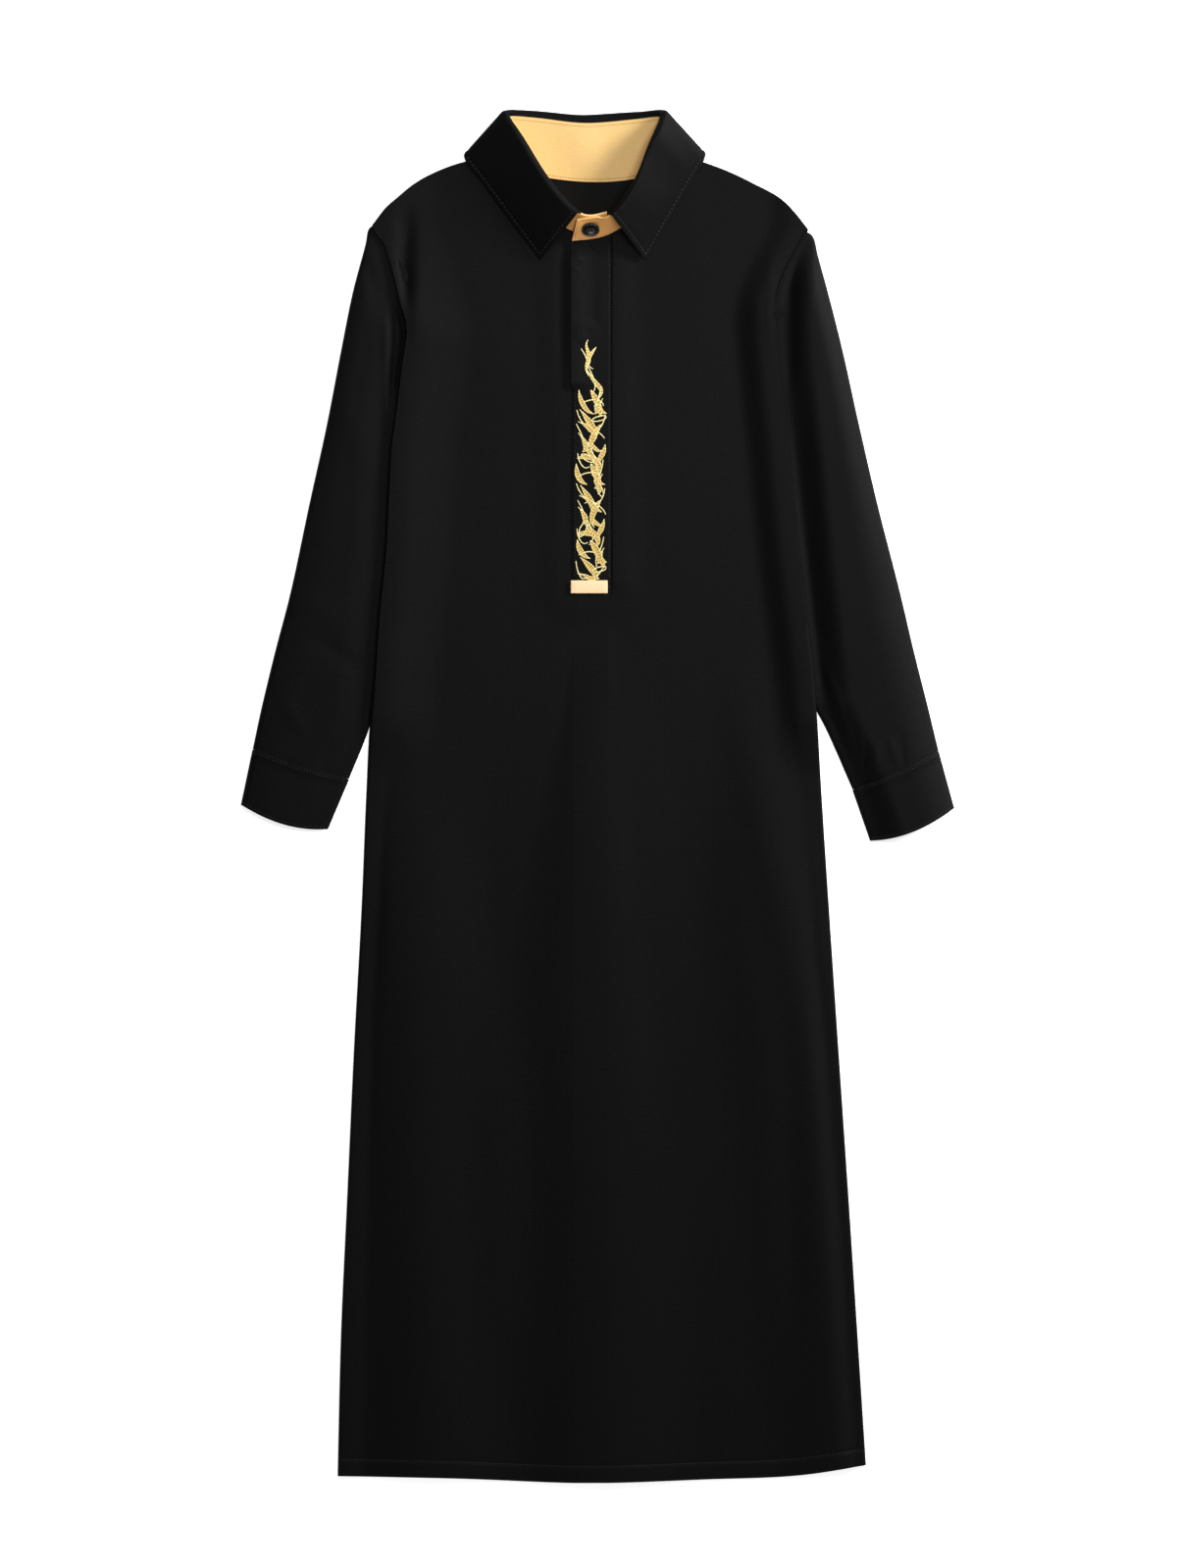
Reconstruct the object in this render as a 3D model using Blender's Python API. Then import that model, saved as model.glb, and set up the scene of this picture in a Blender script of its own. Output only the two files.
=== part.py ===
"""A long black thobe lying flat on its back, front up, collar towards +Y.

Each cut piece is its own closed wall of cloth. Lengths below are in millimetres and become metres
where a mesh is made. The garment is 1425 mm from collar to hem and 740 mm across the cuffs.
"""

import math
from collections import namedtuple

import bmesh
import bpy
from mathutils import Vector

MM = 0.001

# Thickness of the pieces
CLOTH = 1.2
STAND = 2.0
LEAF = 1.6
CUFF = 1.6
SEAM = 0.3
LAYER = CLOTH + SEAM

# Heights of the middle of each wall above the surface it lies on
FLOOR_LAYER = CLOTH / 2
FRONT_LAYER = FLOOR_LAYER + LAYER
FOLD_RADIUS = 1.8

# The body's side folds, from the hem up, and the armhole edges above them
BodyRow = namedtuple("BodyRow", "y left right")
BODY = (
    BodyRow(-706, -269.5, 279.5),
    BodyRow(-559, -266.0, 270.0),
    BodyRow(-415, -259.5, 260.6),
    BodyRow(-262, -252.5, 250.2),
    BodyRow(-109, -244.3, 239.9),
    BodyRow(3, -239.7, 232.6),
    BodyRow(75, -236.0, 228.3),
    BodyRow(129, -230.8, 224.3),
    BodyRow(190, -226.6, 217.2),
    BodyRow(250, -220.4, 209.8),
    BodyRow(320, -216.6, 202.2),
    BodyRow(365, -213.8, 197.9),
    BodyRow(400, -208.8, 194.0),
    BodyRow(447, -202.8, 188.9),
    BodyRow(485, -198.2, 185.9),
    BodyRow(515, -206.0, 187.0),
    BodyRow(545, -213.2, 196.0),
    BodyRow(577, -224.0, 212.7),
    BodyRow(594, -234.6, 222.0),
)
UPPER_SHARES = (0.12, 0.24, 0.36, 0.46, 0.56, 0.65, 0.72, 0.79, 0.85, 0.9, 0.95, 1.0)
TURNED_POINTS = 7
ARMHOLE_Y = 490  # below this the body's edge is a fold, above it the armhole seam
SHOULDER_Y = 594

# The hem's lower edge and the shoulder lines, from left to right
Point = namedtuple("Point", "x y")
HEM = (
    Point(-269.5, -706.0),
    Point(-159.0, -708.0),
    Point(-12.0, -713.0),
    Point(112.0, -709.5),
    Point(216.0, -704.5),
    Point(279.5, -694.5),
)
LEFT_SHOULDER = (
    Point(-234.6, 594.0),
    Point(-219.0, 614.0),
    Point(-208.0, 623.5),
    Point(-193.8, 635.5),
    Point(-160.0, 653.8),
    Point(-137.7, 661.0),
    Point(-108.0, 664.0),
)
RIGHT_SHOULDER = (
    Point(98.0, 664.0),
    Point(112.0, 660.0),
    Point(123.4, 656.0),
    Point(160.0, 639.5),
    Point(199.0, 615.0),
    Point(207.0, 606.0),
    Point(222.0, 586.5),
)

# Soft flutes down the skirt: each ridge's line from its top to the hem, its width to the left at
# its top and at the hem, its width to the right, and its rise
Flute = namedtuple("Flute", "top_x top_y hem_x left_top left_hem right rise")
FLUTES = (
    Flute(-190, 120, -176, 70, 85, 90, 7.0),
    Flute(-14, 200, 8, 20, 100, 112, 8.5),
    Flute(146, 190, 276, 38, 100, 60, 8.5),
)
HEM_Y = -706

# Neck opening
NECK_X = -5.0
NECK_HALF = 103.0
NECK_SIDE_Y = 664.0
FRONT_NECK_DROP = 86.0
BACK_NECK_DROP = 20.0

# Placket, in a slit down the middle of the front
SLIT_LEFT = -23.5
SLIT_RIGHT = 10.2
SLIT_FOOT = 219.0
PLACKET_LEFT = -27.5
PLACKET_RIGHT = 13.6
PLACKET_FOOT = 213.0
PLACKET_TOP = 584.0
UNDER_LEFT = -33.5
PLACKET_TOP_LAYER = FRONT_LAYER + 2 * LAYER
FREE_EDGE_FOOT = 424.0  # above this the placket's left edge is free, and stands off the front
FREE_EDGE_TOP = 578.0
FREE_EDGE_RISE = 4.0
FREE_EDGE_REACH = 26.0
SLIT_RAISE = LAYER
BAR_TOP = 225.4
BAR_FOOT = 212.2
BAR_THICK = 1.0

# Buttons
NECK_BUTTON_X = -6.7
NECK_BUTTON_UP = 0.53
NECK_BUTTON_RADIUS = 9.2
NECK_BUTTON_THICK = 2.6
NECK_BUTTON_GAP = 1.2
PLACKET_BUTTON = Vector((-10.7, 482.9, 3.0))
PLACKET_BUTTON_RADIUS = 5.75
PLACKET_BUTTON_THICK = 2.2

# Where the body's sides lie on the sleeves
SLEEVE_UNDER = 16.0
SLEEVE_FLAT = 4.6
LEFT_LOFT = 3.0
RIGHT_LOFT = 13.0
ARCH_INNER = 38.0
ARCH_OUTER = 40.0
LIFT_LOW = 8.0
LIFT_HIGH = 5.0
LIFT_LEFT_REACH = 72.0
LIFT_RIGHT_REACH = 46.0
TURN_UNDER = 34.0

# Sleeves: the outer and inner end of each row, from the armhole to the cuff seam
SleeveRow = namedtuple("SleeveRow", "outer_x outer_y inner_x inner_y")
LEFT_SLEEVE = (
    SleeveRow(-225.0, 595.5, -192.0, 396.0),
    SleeveRow(-236.8, 590.5, -195.5, 379.0),
    SleeveRow(-241.0, 572.0, -198.0, 360.0),
    SleeveRow(-254.0, 523.0, -200.5, 325.0),
    SleeveRow(-266.2, 462.0, -202.5, 285.0),
    SleeveRow(-281.0, 385.0, -205.5, 240.0),
    SleeveRow(-299.0, 303.0, -210.5, 196.0),
    SleeveRow(-317.2, 217.0, -214.5, 150.0),
    SleeveRow(-334.5, 150.0, -227.0, 108.0),
    SleeveRow(-347.8, 95.0, -240.5, 65.0),
    SleeveRow(-357.5, 50.0, -259.0, 19.4),
)
RIGHT_SLEEVE = (
    SleeveRow(212.5, 589.5, 177.5, 396.0),
    SleeveRow(223.8, 582.0, 180.0, 379.0),
    SleeveRow(229.0, 562.0, 182.0, 360.0),
    SleeveRow(239.7, 523.0, 186.0, 325.0),
    SleeveRow(255.0, 462.0, 190.0, 285.0),
    SleeveRow(272.0, 385.0, 195.0, 240.0),
    SleeveRow(291.0, 303.0, 201.0, 196.0),
    SleeveRow(313.0, 217.0, 206.5, 150.0),
    SleeveRow(328.8, 150.0, 219.5, 108.0),
    SleeveRow(342.7, 95.0, 240.0, 68.0),
    SleeveRow(354.0, 48.0, 266.2, 8.2),
)

# Cuffs: the seam's ends are the sleeve's, and these are the ends of the open edge
CuffEnd = namedtuple("CuffEnd", "outer_x outer_y inner_x inner_y")
LEFT_CUFF = CuffEnd(-369.6, -8.0, -281.0, -33.0)
RIGHT_CUFF = CuffEnd(370.2, -11.5, 284.5, -45.0)
CUFF_SEAM_BOW = 3.5
CUFF_OPENING_BOW = 8.0

# Collar: the stand's seam and top edge and the leaf's outer edge, once round the neck
CollarStation = namedtuple(
    "CollarStation", "name seam_x seam_y seam_z top_x top_y top_z edge_x edge_y edge_z"
)
COLLAR = (
    CollarStation("underlap end", 10, 588, 6.9, 10, 607.4, 31.0, 0, 0, 0),
    CollarStation("left front", -22, 588, 6.9, -17.0, 606.0, 32.5, -59.2, 558.5, 6.6),
    CollarStation("left leaf", -68, 615, 5.6, -50.0, 638.5, 32.0, -85.1, 593.4, 6.0),
    CollarStation("left neck", -101, 646, 5.0, -77.5, 681.4, 29.5, -117.6, 637.4, 5.6),
    CollarStation("left side", -110, 661, 4.9, -92.0, 703.5, 26.0, -137.4, 664.0, 5.0),
    CollarStation("left corner", -107, 663, 4.2, -88.5, 707.6, 22.0, -127.0, 671.0, 1.2),
    CollarStation("left back", -65, 647, 3.0, -61.2, 705.8, 17.0, -75.5, 663.0, 0.9),
    CollarStation("back", -6, 640, 3.0, -12.2, 700.7, 15.0, -12.2, 656.0, 0.9),
    CollarStation("right back", 47, 645, 3.0, 36.7, 704.3, 17.0, 52.0, 662.0, 0.9),
    CollarStation("right corner", 95, 663, 4.2, 62.7, 706.9, 22.0, 104.0, 671.0, 1.2),
    CollarStation("right side", 99, 661, 4.9, 66.8, 703.0, 26.0, 110.8, 664.0, 5.0),
    CollarStation("right neck", 90, 645, 5.0, 57.4, 680.3, 29.5, 95.7, 637.6, 5.6),
    CollarStation("right leaf", 60, 615, 5.6, 40.0, 638.5, 32.0, 70.2, 593.4, 6.0),
    CollarStation("right front", 20.4, 590.6, 8.6, 12.9, 604.4, 33.0, 50.0, 558.5, 6.6),
    CollarStation("tab middle", 1.0, 582.4, 9.0, -2.0, 602.6, 32.4, 0, 0, 0),
    CollarStation("tab end", -26.5, 579.0, 9.4, -21.0, 599.8, 30.5, 0, 0, 0),
)
LEAF_FIRST = 1
LEAF_LAST = 13
STEPS_PER_STATION = 3
ROLL = 3.6


def clear_scene():
    for obj in list(bpy.data.objects):
        bpy.data.objects.remove(obj, do_unlink=True)


def smooth(low, high, value):
    """0 below low, 1 above high, and an even rise between."""
    t = min(max((value - low) / (high - low), 0.0), 1.0)
    return t * t * (3 - 2 * t)


def spread(low, high, steps):
    return [low + (high - low) * i / steps for i in range(steps + 1)]


def along(points, x):
    """The y at x on a line of points that run from left to right."""
    for a, b in zip(points, points[1:]):
        if x <= b.x:
            return a.y + (b.y - a.y) * (x - a.x) / (b.x - a.x)
    return points[-1].y


def body_edges(y):
    """The body's left and right edges at this height."""
    if y <= BODY[0].y:
        return BODY[0].left, BODY[0].right
    for a, b in zip(BODY, BODY[1:]):
        if y <= b.y:
            t = (y - a.y) / (b.y - a.y)
            return a.left + (b.left - a.left) * t, a.right + (b.right - a.right) * t
    return BODY[-1].left, BODY[-1].right


def inside_edge(x, y):
    """How far a point lies inside the nearer side edge of the body."""
    left, right = body_edges(y)
    return min(x - left, right - x)


def neck_y(x, drop, power):
    """The neckline, a curve that drops below the two neck points."""
    t = min(abs(x - NECK_X) / NECK_HALF, 1.0)
    return NECK_SIDE_Y - drop * (1 - t**1.3) ** power


def front_top_y(x):
    """The upper edge of the front: shoulder, neckline, shoulder."""
    if x <= LEFT_SHOULDER[-1].x:
        return along(LEFT_SHOULDER, x)
    if x >= RIGHT_SHOULDER[0].x:
        return along(RIGHT_SHOULDER, x)
    return neck_y(x, FRONT_NECK_DROP, 0.7)


def back_top_y(x):
    if x <= LEFT_SHOULDER[-1].x:
        return along(LEFT_SHOULDER, x)
    if x >= RIGHT_SHOULDER[0].x:
        return along(RIGHT_SHOULDER, x)
    return neck_y(x, BACK_NECK_DROP, 0.8)


def side_lift(y):
    """How far the body's side is held up by the sleeve beneath it."""
    return smooth(18, 90, y) * (LIFT_LOW + (LIFT_HIGH - LIFT_LOW) * smooth(500, 575, y))


def lift(x, y):
    """The rise of the front's upper layer towards its sides, where they lie on the sleeves."""
    left, right = body_edges(y)
    from_left = 1 - smooth(15, LIFT_LEFT_REACH, x - left)
    from_right = 1 - smooth(15, LIFT_RIGHT_REACH, right - x)
    return side_lift(y) * max(from_left, from_right)


def under_lift(x, y):
    """The rise of the part that is turned under, down to the seam with the back."""
    return side_lift(y) * (1 - smooth(14, TURN_UNDER - 1, inside_edge(x, y)))


def flute_rise(x, y):
    """The height of the skirt's flutes, which fade in from their tops to the hem."""
    rise = 0.0
    for flute in FLUTES:
        t = min(max((flute.top_y - y) / (flute.top_y - HEM_Y), 0.0), 1.0)
        ridge_x = flute.top_x + (flute.hem_x - flute.top_x) * t
        left = flute.left_top + (flute.left_hem - flute.left_top) * smooth(0.0, 0.5, t)
        width = left if x < ridge_x else flute.right
        across = min(abs(x - ridge_x) / width, 1.0)
        rise += flute.rise * smooth(0.0, 0.35, t) * (0.5 + 0.5 * math.cos(math.pi * across))
    return rise


def front_height(x, y):
    """The middle of the front's upper layer."""
    inside = inside_edge(x, y)
    folded = 1 - smooth(ARMHOLE_Y, ARMHOLE_Y + 45, y)
    roll = (FLOOR_LAYER + 2 * FOLD_RADIUS - FRONT_LAYER) * (1 - smooth(5, 42, inside)) * folded
    from_slit = max(SLIT_LEFT - x, x - SLIT_RIGHT, 0.0)
    below_slit = max(SLIT_FOOT - y, 0.0)
    raise_here = SLIT_RAISE * (1 - smooth(14, 48, math.hypot(from_slit, below_slit)))
    flutes = flute_rise(x, y) * smooth(0, 30, inside)
    return FRONT_LAYER + lift(x, y) + max(roll, flutes) + raise_here


def placket_height(x, y):
    """The middle of the placket's upper layer, over the hidden button and up to its free edge."""
    from_button = math.hypot(x - PLACKET_BUTTON.x, y - PLACKET_BUTTON.y)
    over = 1.1 * (1 - smooth(PLACKET_BUTTON_RADIUS + 2, 17, from_button))
    free = smooth(FREE_EDGE_FOOT - 4, FREE_EDGE_FOOT + 8, y)
    free *= 1 - smooth(FREE_EDGE_TOP - 22, FREE_EDGE_TOP, y)
    return PLACKET_TOP_LAYER + over + FREE_EDGE_RISE * free * (
        1 - smooth(0, FREE_EDGE_REACH, x - PLACKET_LEFT))


def finish(name, mesh, material):
    mesh.shade_smooth()
    mesh.set_sharp_from_angle(angle=math.radians(40))
    mesh.materials.append(material)
    obj = bpy.data.objects.new(name, mesh)
    bpy.context.scene.collection.objects.link(obj)
    return obj


def wall(name, rows, thick, material, skip=None, ring=False):
    """A wall of cloth about a grid of points, given as rows of millimetre points."""
    shape = bmesh.new()
    verts = [[shape.verts.new(Vector(p) * MM) for p in row] for row in rows]
    across = len(rows[0])
    for i in range(len(rows) - 1):
        for j in range(across if ring else across - 1):
            if skip and skip(i, j):
                continue
            k = (j + 1) % across
            shape.faces.new((verts[i][j], verts[i][k], verts[i + 1][k], verts[i + 1][j]))
    loose = [v for v in shape.verts if not v.link_faces]
    bmesh.ops.delete(shape, geom=loose, context="VERTS")
    mesh = bpy.data.meshes.new(name)
    shape.to_mesh(mesh)
    shape.free()
    obj = finish(name, mesh, material)
    solidify = obj.modifiers.new("cloth", "SOLIDIFY")
    solidify.thickness = thick * MM
    solidify.offset = 0.0
    solidify.use_even_offset = True
    solidify.use_quality_normals = True
    return obj


def finish_material(name, rgb, roughness, metallic=0.0):
    material = bpy.data.materials.new(name)
    material.use_nodes = True
    shader = material.node_tree.nodes["Principled BSDF"]
    shader.inputs["Base Color"].default_value = (*rgb, 1.0)
    shader.inputs["Roughness"].default_value = roughness
    shader.inputs["Metallic"].default_value = metallic
    return material


TUBE_COLUMNS = 12
BODY_ROWS = [(s, False) for s in spread(0.0, 1.0, 12)] + [(s, True) for s in UPPER_SHARES]


def half_columns(edge, slit):
    """Column positions from a side edge to the slit, closer together at both ends."""
    shares = (0.0, 0.06, 0.14, 0.25, 0.38, 0.52, 0.64, 0.75, 0.86, 1.0)
    return [edge + (slit - edge) * s for s in shares]


def turned_edge(edge, y, side):
    """The part of a row that is turned under, from its inner end out to the fold."""
    points = []
    for inside in (TURN_UNDER, 26.0, SLEEVE_UNDER, 6.0):
        x = edge - side * inside
        points.append((x, y, FLOOR_LAYER + under_lift(x, y)))
    for angle in (-50, 0, 50):
        a = math.radians(angle)
        x = edge - side * FOLD_RADIUS * (1 - math.cos(a))
        z = FLOOR_LAYER + side_lift(y) + FOLD_RADIUS * (1 + math.sin(a))
        points.append((x, y, z))
    return points


def row_height(x, share, upper, top_y):
    """The y at x of a row: from the hem to the slit's foot, or from there to the upper edge."""
    if upper:
        return SLIT_FOOT + (top_y(x) - SLIT_FOOT) * share
    hem = along(HEM, x)
    return hem + (SLIT_FOOT - hem) * share


def row_ends(share, upper):
    """Where a row meets the body's left and right edges."""
    left, right = BODY[0].left, BODY[0].right
    for _ in range(8):
        left_y = row_height(left, share, upper, front_top_y)
        right_y = row_height(right, share, upper, front_top_y)
        left, right = body_edges(left_y)[0], body_edges(right_y)[1]
    return (left, left_y), (right, right_y)


def front_row(share, upper):
    """One row of the front, from the left turn-under to the right one."""
    (left, left_y), (right, right_y) = row_ends(share, upper)
    row = turned_edge(left, left_y, -1)
    columns = half_columns(left, SLIT_LEFT)[1:]
    columns += half_columns(right, SLIT_RIGHT)[:0:-1]
    for x in columns:
        y = row_height(x, share, upper, front_top_y)
        row.append((x, y, front_height(x, y)))
    row += reversed(turned_edge(right, right_y, 1))
    return row


def make_front(material):
    rows = [front_row(share, upper) for share, upper in BODY_ROWS]
    foot = [upper for _, upper in BODY_ROWS].index(True) - 1
    last = len(rows[0]) - 2
    slit = len(rows[0]) // 2 - 1

    def skip(i, j):
        in_left_turn = j < TURNED_POINTS - 1 and rows[i + 1][0][1] > ARMHOLE_Y
        in_right_turn = j > last - TURNED_POINTS + 1 and rows[i + 1][-1][1] > ARMHOLE_Y
        return in_left_turn or in_right_turn or (i >= foot and j == slit)

    return wall("front_body", rows, CLOTH, material, skip)


def back_inset(y):
    """How far the back's seam lies inside the body's fold or armhole edge."""
    folded = TURN_UNDER + SEAM
    at_armhole = SLEEVE_UNDER + CLOTH / 2 + SEAM
    return folded + (at_armhole - folded) * smooth(ARMHOLE_Y, ARMHOLE_Y + 40, y)


def back_row(share, upper):
    (left, left_y), (right, right_y) = row_ends(share, upper)
    left += back_inset(left_y)
    right -= back_inset(right_y)
    middle = (left + right) / 2
    row = [(left, left_y, FLOOR_LAYER)]
    for x in half_columns(left, middle)[1:] + half_columns(right, middle)[-2:0:-1]:
        row.append((x, row_height(x, share, upper, back_top_y), FLOOR_LAYER))
    return row + [(right, right_y, FLOOR_LAYER)]


def make_back(material):
    return wall("back_body", [back_row(*row) for row in BODY_ROWS], CLOTH, material)


def arch(from_inner, from_outer):
    """A share from 0 at a sleeve's inner side, where the body covers it, up and down to its fold."""
    outer = 1 - (1 - min(from_outer / ARCH_OUTER, 1.0)) ** 2
    return smooth(2, ARCH_INNER, from_inner) * outer


def sleeve_line(row, start, blend, share):
    """A point across a sleeve row, bowed near the armhole to follow the seam."""
    x = row.outer_x + (row.inner_x - row.outer_x) * share
    y = row.outer_y + (row.inner_y - row.outer_y) * share
    left_side = row.outer_x < 0
    start_y = start.outer_y + (start.inner_y - start.outer_y) * share
    start_x = start.outer_x + (start.inner_x - start.outer_x) * share
    edge = body_edges(start_y)[0 if left_side else 1]
    armhole_x = edge + (SLEEVE_UNDER if left_side else -SLEEVE_UNDER)
    bow = (armhole_x - start_x) * min(1.0, 4 * share) * min(1.0, 4 * (1 - share))
    return x + bow * blend, y


def outside_body(at):
    """How far a point of a sleeve lies outside the body's edge."""
    return -inside_edge(at.x, min(at.y, SHOULDER_Y))


def flat_tube(line, loft, columns):
    """A flattened ring: along the upper layer from the outer fold to the inner, and back below."""
    shares = [0.5 - 0.5 * math.cos(math.pi * t) for t in spread(0.0, 1.0, columns)]
    outer = Vector(line(0.0))
    inner = Vector(line(1.0))
    upper = []
    lower = []
    for share in shares[1:-1]:
        at = Vector(line(share))
        from_inner = min(outside_body(at), (at - inner).length)
        height = SLEEVE_FLAT + loft * arch(from_inner, (at - outer).length)
        upper.append((*at, FLOOR_LAYER + height))
        lower.append((*at, FLOOR_LAYER))
    ends = [(*line(share), FLOOR_LAYER + SLEEVE_FLAT / 2) for share in (0.0, 1.0)]
    return [ends[0]] + upper + [ends[1]] + lower[::-1]


def make_sleeve(side, table, loft, material):
    rows = []
    for i, row in enumerate(table):
        blend = max(0.0, 1 - i / 4) ** 2

        def line(share, row=row, blend=blend):
            return sleeve_line(row, table[0], blend, share)

        rows.append(flat_tube(line, loft, TUBE_COLUMNS))
    seam = table[-1]
    rows[-1] = flat_tube(lambda s: bowed(seam, CUFF_SEAM_BOW, s), loft, TUBE_COLUMNS)
    return wall(f"sleeve_{side}", rows, CLOTH, material, ring=True)


def bowed(row, bow, share):
    """A point across a cuff row, which bows towards the hand in the middle."""
    x = row.outer_x + (row.inner_x - row.outer_x) * share
    y = row.outer_y + (row.inner_y - row.outer_y) * share
    return x, y - bow * 4 * share * (1 - share)


def make_cuff(side, seam, opening, loft, material):
    gap = SEAM + (CUFF - CLOTH) / 2
    rows = []
    for t in (0.0, 0.33, 0.67, 1.0):
        row = CuffEnd(*[a + (b - a) * t for a, b in zip(seam, opening)])
        bow = CUFF_SEAM_BOW + (CUFF_OPENING_BOW - CUFF_SEAM_BOW) * t

        def line(share, row=row, bow=bow, t=t):
            x, y = bowed(row, bow, share)
            return x, y - gap * (1 - t)

        ring = flat_tube(line, loft, TUBE_COLUMNS)
        rows.append([(x, y, z + (CUFF - CLOTH) / 2) for x, y, z in ring])
    return wall(f"cuff_{side}", rows, CUFF, material, ring=True)


def curve_through(values, steps):
    """Points on a smooth curve through a list of vectors, with steps to each span."""
    points = []
    last = len(values) - 1
    for i in range(last):
        a, b = values[max(i - 1, 0)], values[i]
        c, d = values[i + 1], values[min(i + 2, last)]
        for k in range(steps):
            t = k / steps
            points.append(
                (2 * b + (c - a) * t + (2 * a - 5 * b + 4 * c - d) * t**2
                 + (3 * b - a - 3 * c + d) * t**3) / 2
            )
    return points + [values[-1]]


def collar_lines():
    """The stand's seam and top edge, as smooth curves round the neck."""
    seam = [Vector((s.seam_x, s.seam_y, s.seam_z)) for s in COLLAR]
    top = [Vector((s.top_x, s.top_y, s.top_z)) for s in COLLAR]
    return curve_through(seam, STEPS_PER_STATION), curve_through(top, STEPS_PER_STATION)


def make_stand(material):
    seam, top = collar_lines()
    rows = []
    for low, high in zip(seam, top):
        rows.append([low.lerp(high, t) for t in (0.0, 0.5, 1.0)])
    return wall("collar_stand", rows, STAND, material)


def leaf_row(low, high, edge):
    """The leaf from the stand's top edge, over the roll and out to its edge."""
    rise = (high - low).normalized()
    fall = edge - high
    out = (fall - rise * fall.dot(rise)).normalized()
    start = high + rise * (SEAM + 0.2)
    crest = high + rise * ROLL + out * 1.6
    over = high + rise * ROLL + out * 5.4
    down = high + rise * (ROLL * 0.3) + out * 7.4
    row = [start, start.lerp(crest, 0.7), crest, over, down]
    return row + [down.lerp(edge, t) for t in (0.3, 0.65, 1.0)]


def make_leaf(material):
    first = LEAF_FIRST * STEPS_PER_STATION
    last = LEAF_LAST * STEPS_PER_STATION + 1
    seam, top = collar_lines()
    corners = [Vector((s.edge_x, s.edge_y, s.edge_z)) for s in COLLAR[LEAF_FIRST:LEAF_LAST + 1]]
    edge = curve_through(corners, STEPS_PER_STATION)
    rows = [leaf_row(*p) for p in zip(seam[first:last], top[first:last], edge)]
    return wall("collar_leaf", rows, LEAF, material)


def strip(name, left, right, foot, top, height, thick, material, columns, lines):
    """A strip of cloth that lies along the middle of the front."""
    rows = []
    for y in spread(foot, top, lines):
        rows.append([(x, y, height(x, y)) for x in spread(left, right, columns)])
    return wall(name, rows, thick, material)


def button(name, centre, radius, thick, tilt, material):
    """A round button with a rounded rim."""
    shape = bmesh.new()
    bmesh.ops.create_cone(
        shape, cap_ends=True, segments=24,
        radius1=radius * MM, radius2=radius * MM, depth=thick * MM,
    )
    rims = [e for e in shape.edges if abs(e.verts[0].co.z - e.verts[1].co.z) < 1e-6]
    bmesh.ops.bevel(shape, geom=rims, offset=0.3 * thick * MM, segments=2, affect="EDGES")
    mesh = bpy.data.meshes.new(name)
    shape.to_mesh(mesh)
    shape.free()
    obj = finish(name, mesh, material)
    obj.location = centre * MM
    obj.rotation_euler = (tilt, 0.0, 0.0)
    return obj


def make_placket(black, gold):
    strip("placket_under", UNDER_LEFT, PLACKET_RIGHT, PLACKET_FOOT, PLACKET_TOP,
          lambda x, y: FRONT_LAYER, CLOTH, black, 3, 10)
    strip("placket_top", PLACKET_LEFT, PLACKET_RIGHT, PLACKET_FOOT + 1, PLACKET_TOP,
          placket_height, CLOTH, black, 7, 44)
    bar_height = PLACKET_TOP_LAYER + CLOTH / 2 + SEAM + BAR_THICK / 2
    strip("placket_bar", PLACKET_LEFT, SLIT_RIGHT + 0.4, BAR_FOOT, BAR_TOP,
          lambda x, y: bar_height, BAR_THICK, gold, 4, 2)


def on_tab(x, up):
    """A point on the middle of the collar tab, and how steeply the tab slopes there."""
    start, end = COLLAR[-2:]
    t = (x - start.seam_x) / (end.seam_x - start.seam_x)
    seam = Vector((start.seam_x, start.seam_y, start.seam_z))
    seam = seam.lerp(Vector((end.seam_x, end.seam_y, end.seam_z)), t)
    top = Vector((start.top_x, start.top_y, start.top_z))
    top = top.lerp(Vector((end.top_x, end.top_y, end.top_z)), t)
    return seam.lerp(top, up), math.atan2(top.z - seam.z, top.y - seam.y)


def make_buttons(black):
    place, slope = on_tab(NECK_BUTTON_X, NECK_BUTTON_UP)
    stand_off = STAND / 2 + NECK_BUTTON_GAP + NECK_BUTTON_THICK / 2
    place += Vector((0, -math.sin(slope), math.cos(slope))) * stand_off
    button("neck_button", place, NECK_BUTTON_RADIUS, NECK_BUTTON_THICK, slope, black)
    centre = PLACKET_BUTTON + Vector((0, 0, PLACKET_BUTTON_THICK / 2))
    button("placket_button", centre, PLACKET_BUTTON_RADIUS, PLACKET_BUTTON_THICK, 0.0, black)


def main():
    clear_scene()
    cloth = finish_material("black_suiting", (0.010, 0.010, 0.010), 0.85)
    satin = finish_material("gold_satin", (0.87, 0.60, 0.27), 0.45)
    pale = finish_material("pale_gold_satin", (0.93, 0.70, 0.43), 0.4)
    horn = finish_material("black_button", (0.012, 0.012, 0.012), 0.3)
    make_back(cloth)
    make_front(cloth)
    make_sleeve("left", LEFT_SLEEVE, LEFT_LOFT, cloth)
    make_sleeve("right", RIGHT_SLEEVE, RIGHT_LOFT, cloth)
    make_cuff("left", LEFT_SLEEVE[-1], LEFT_CUFF, LEFT_LOFT, cloth)
    make_cuff("right", RIGHT_SLEEVE[-1], RIGHT_CUFF, RIGHT_LOFT, cloth)
    make_placket(cloth, pale)
    make_stand(satin)
    make_leaf(cloth)
    make_buttons(horn)


main()
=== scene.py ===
"""A long black thobe laid flat on its back, with a gold collar stand and an embroidered placket."""

import math
import random

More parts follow.
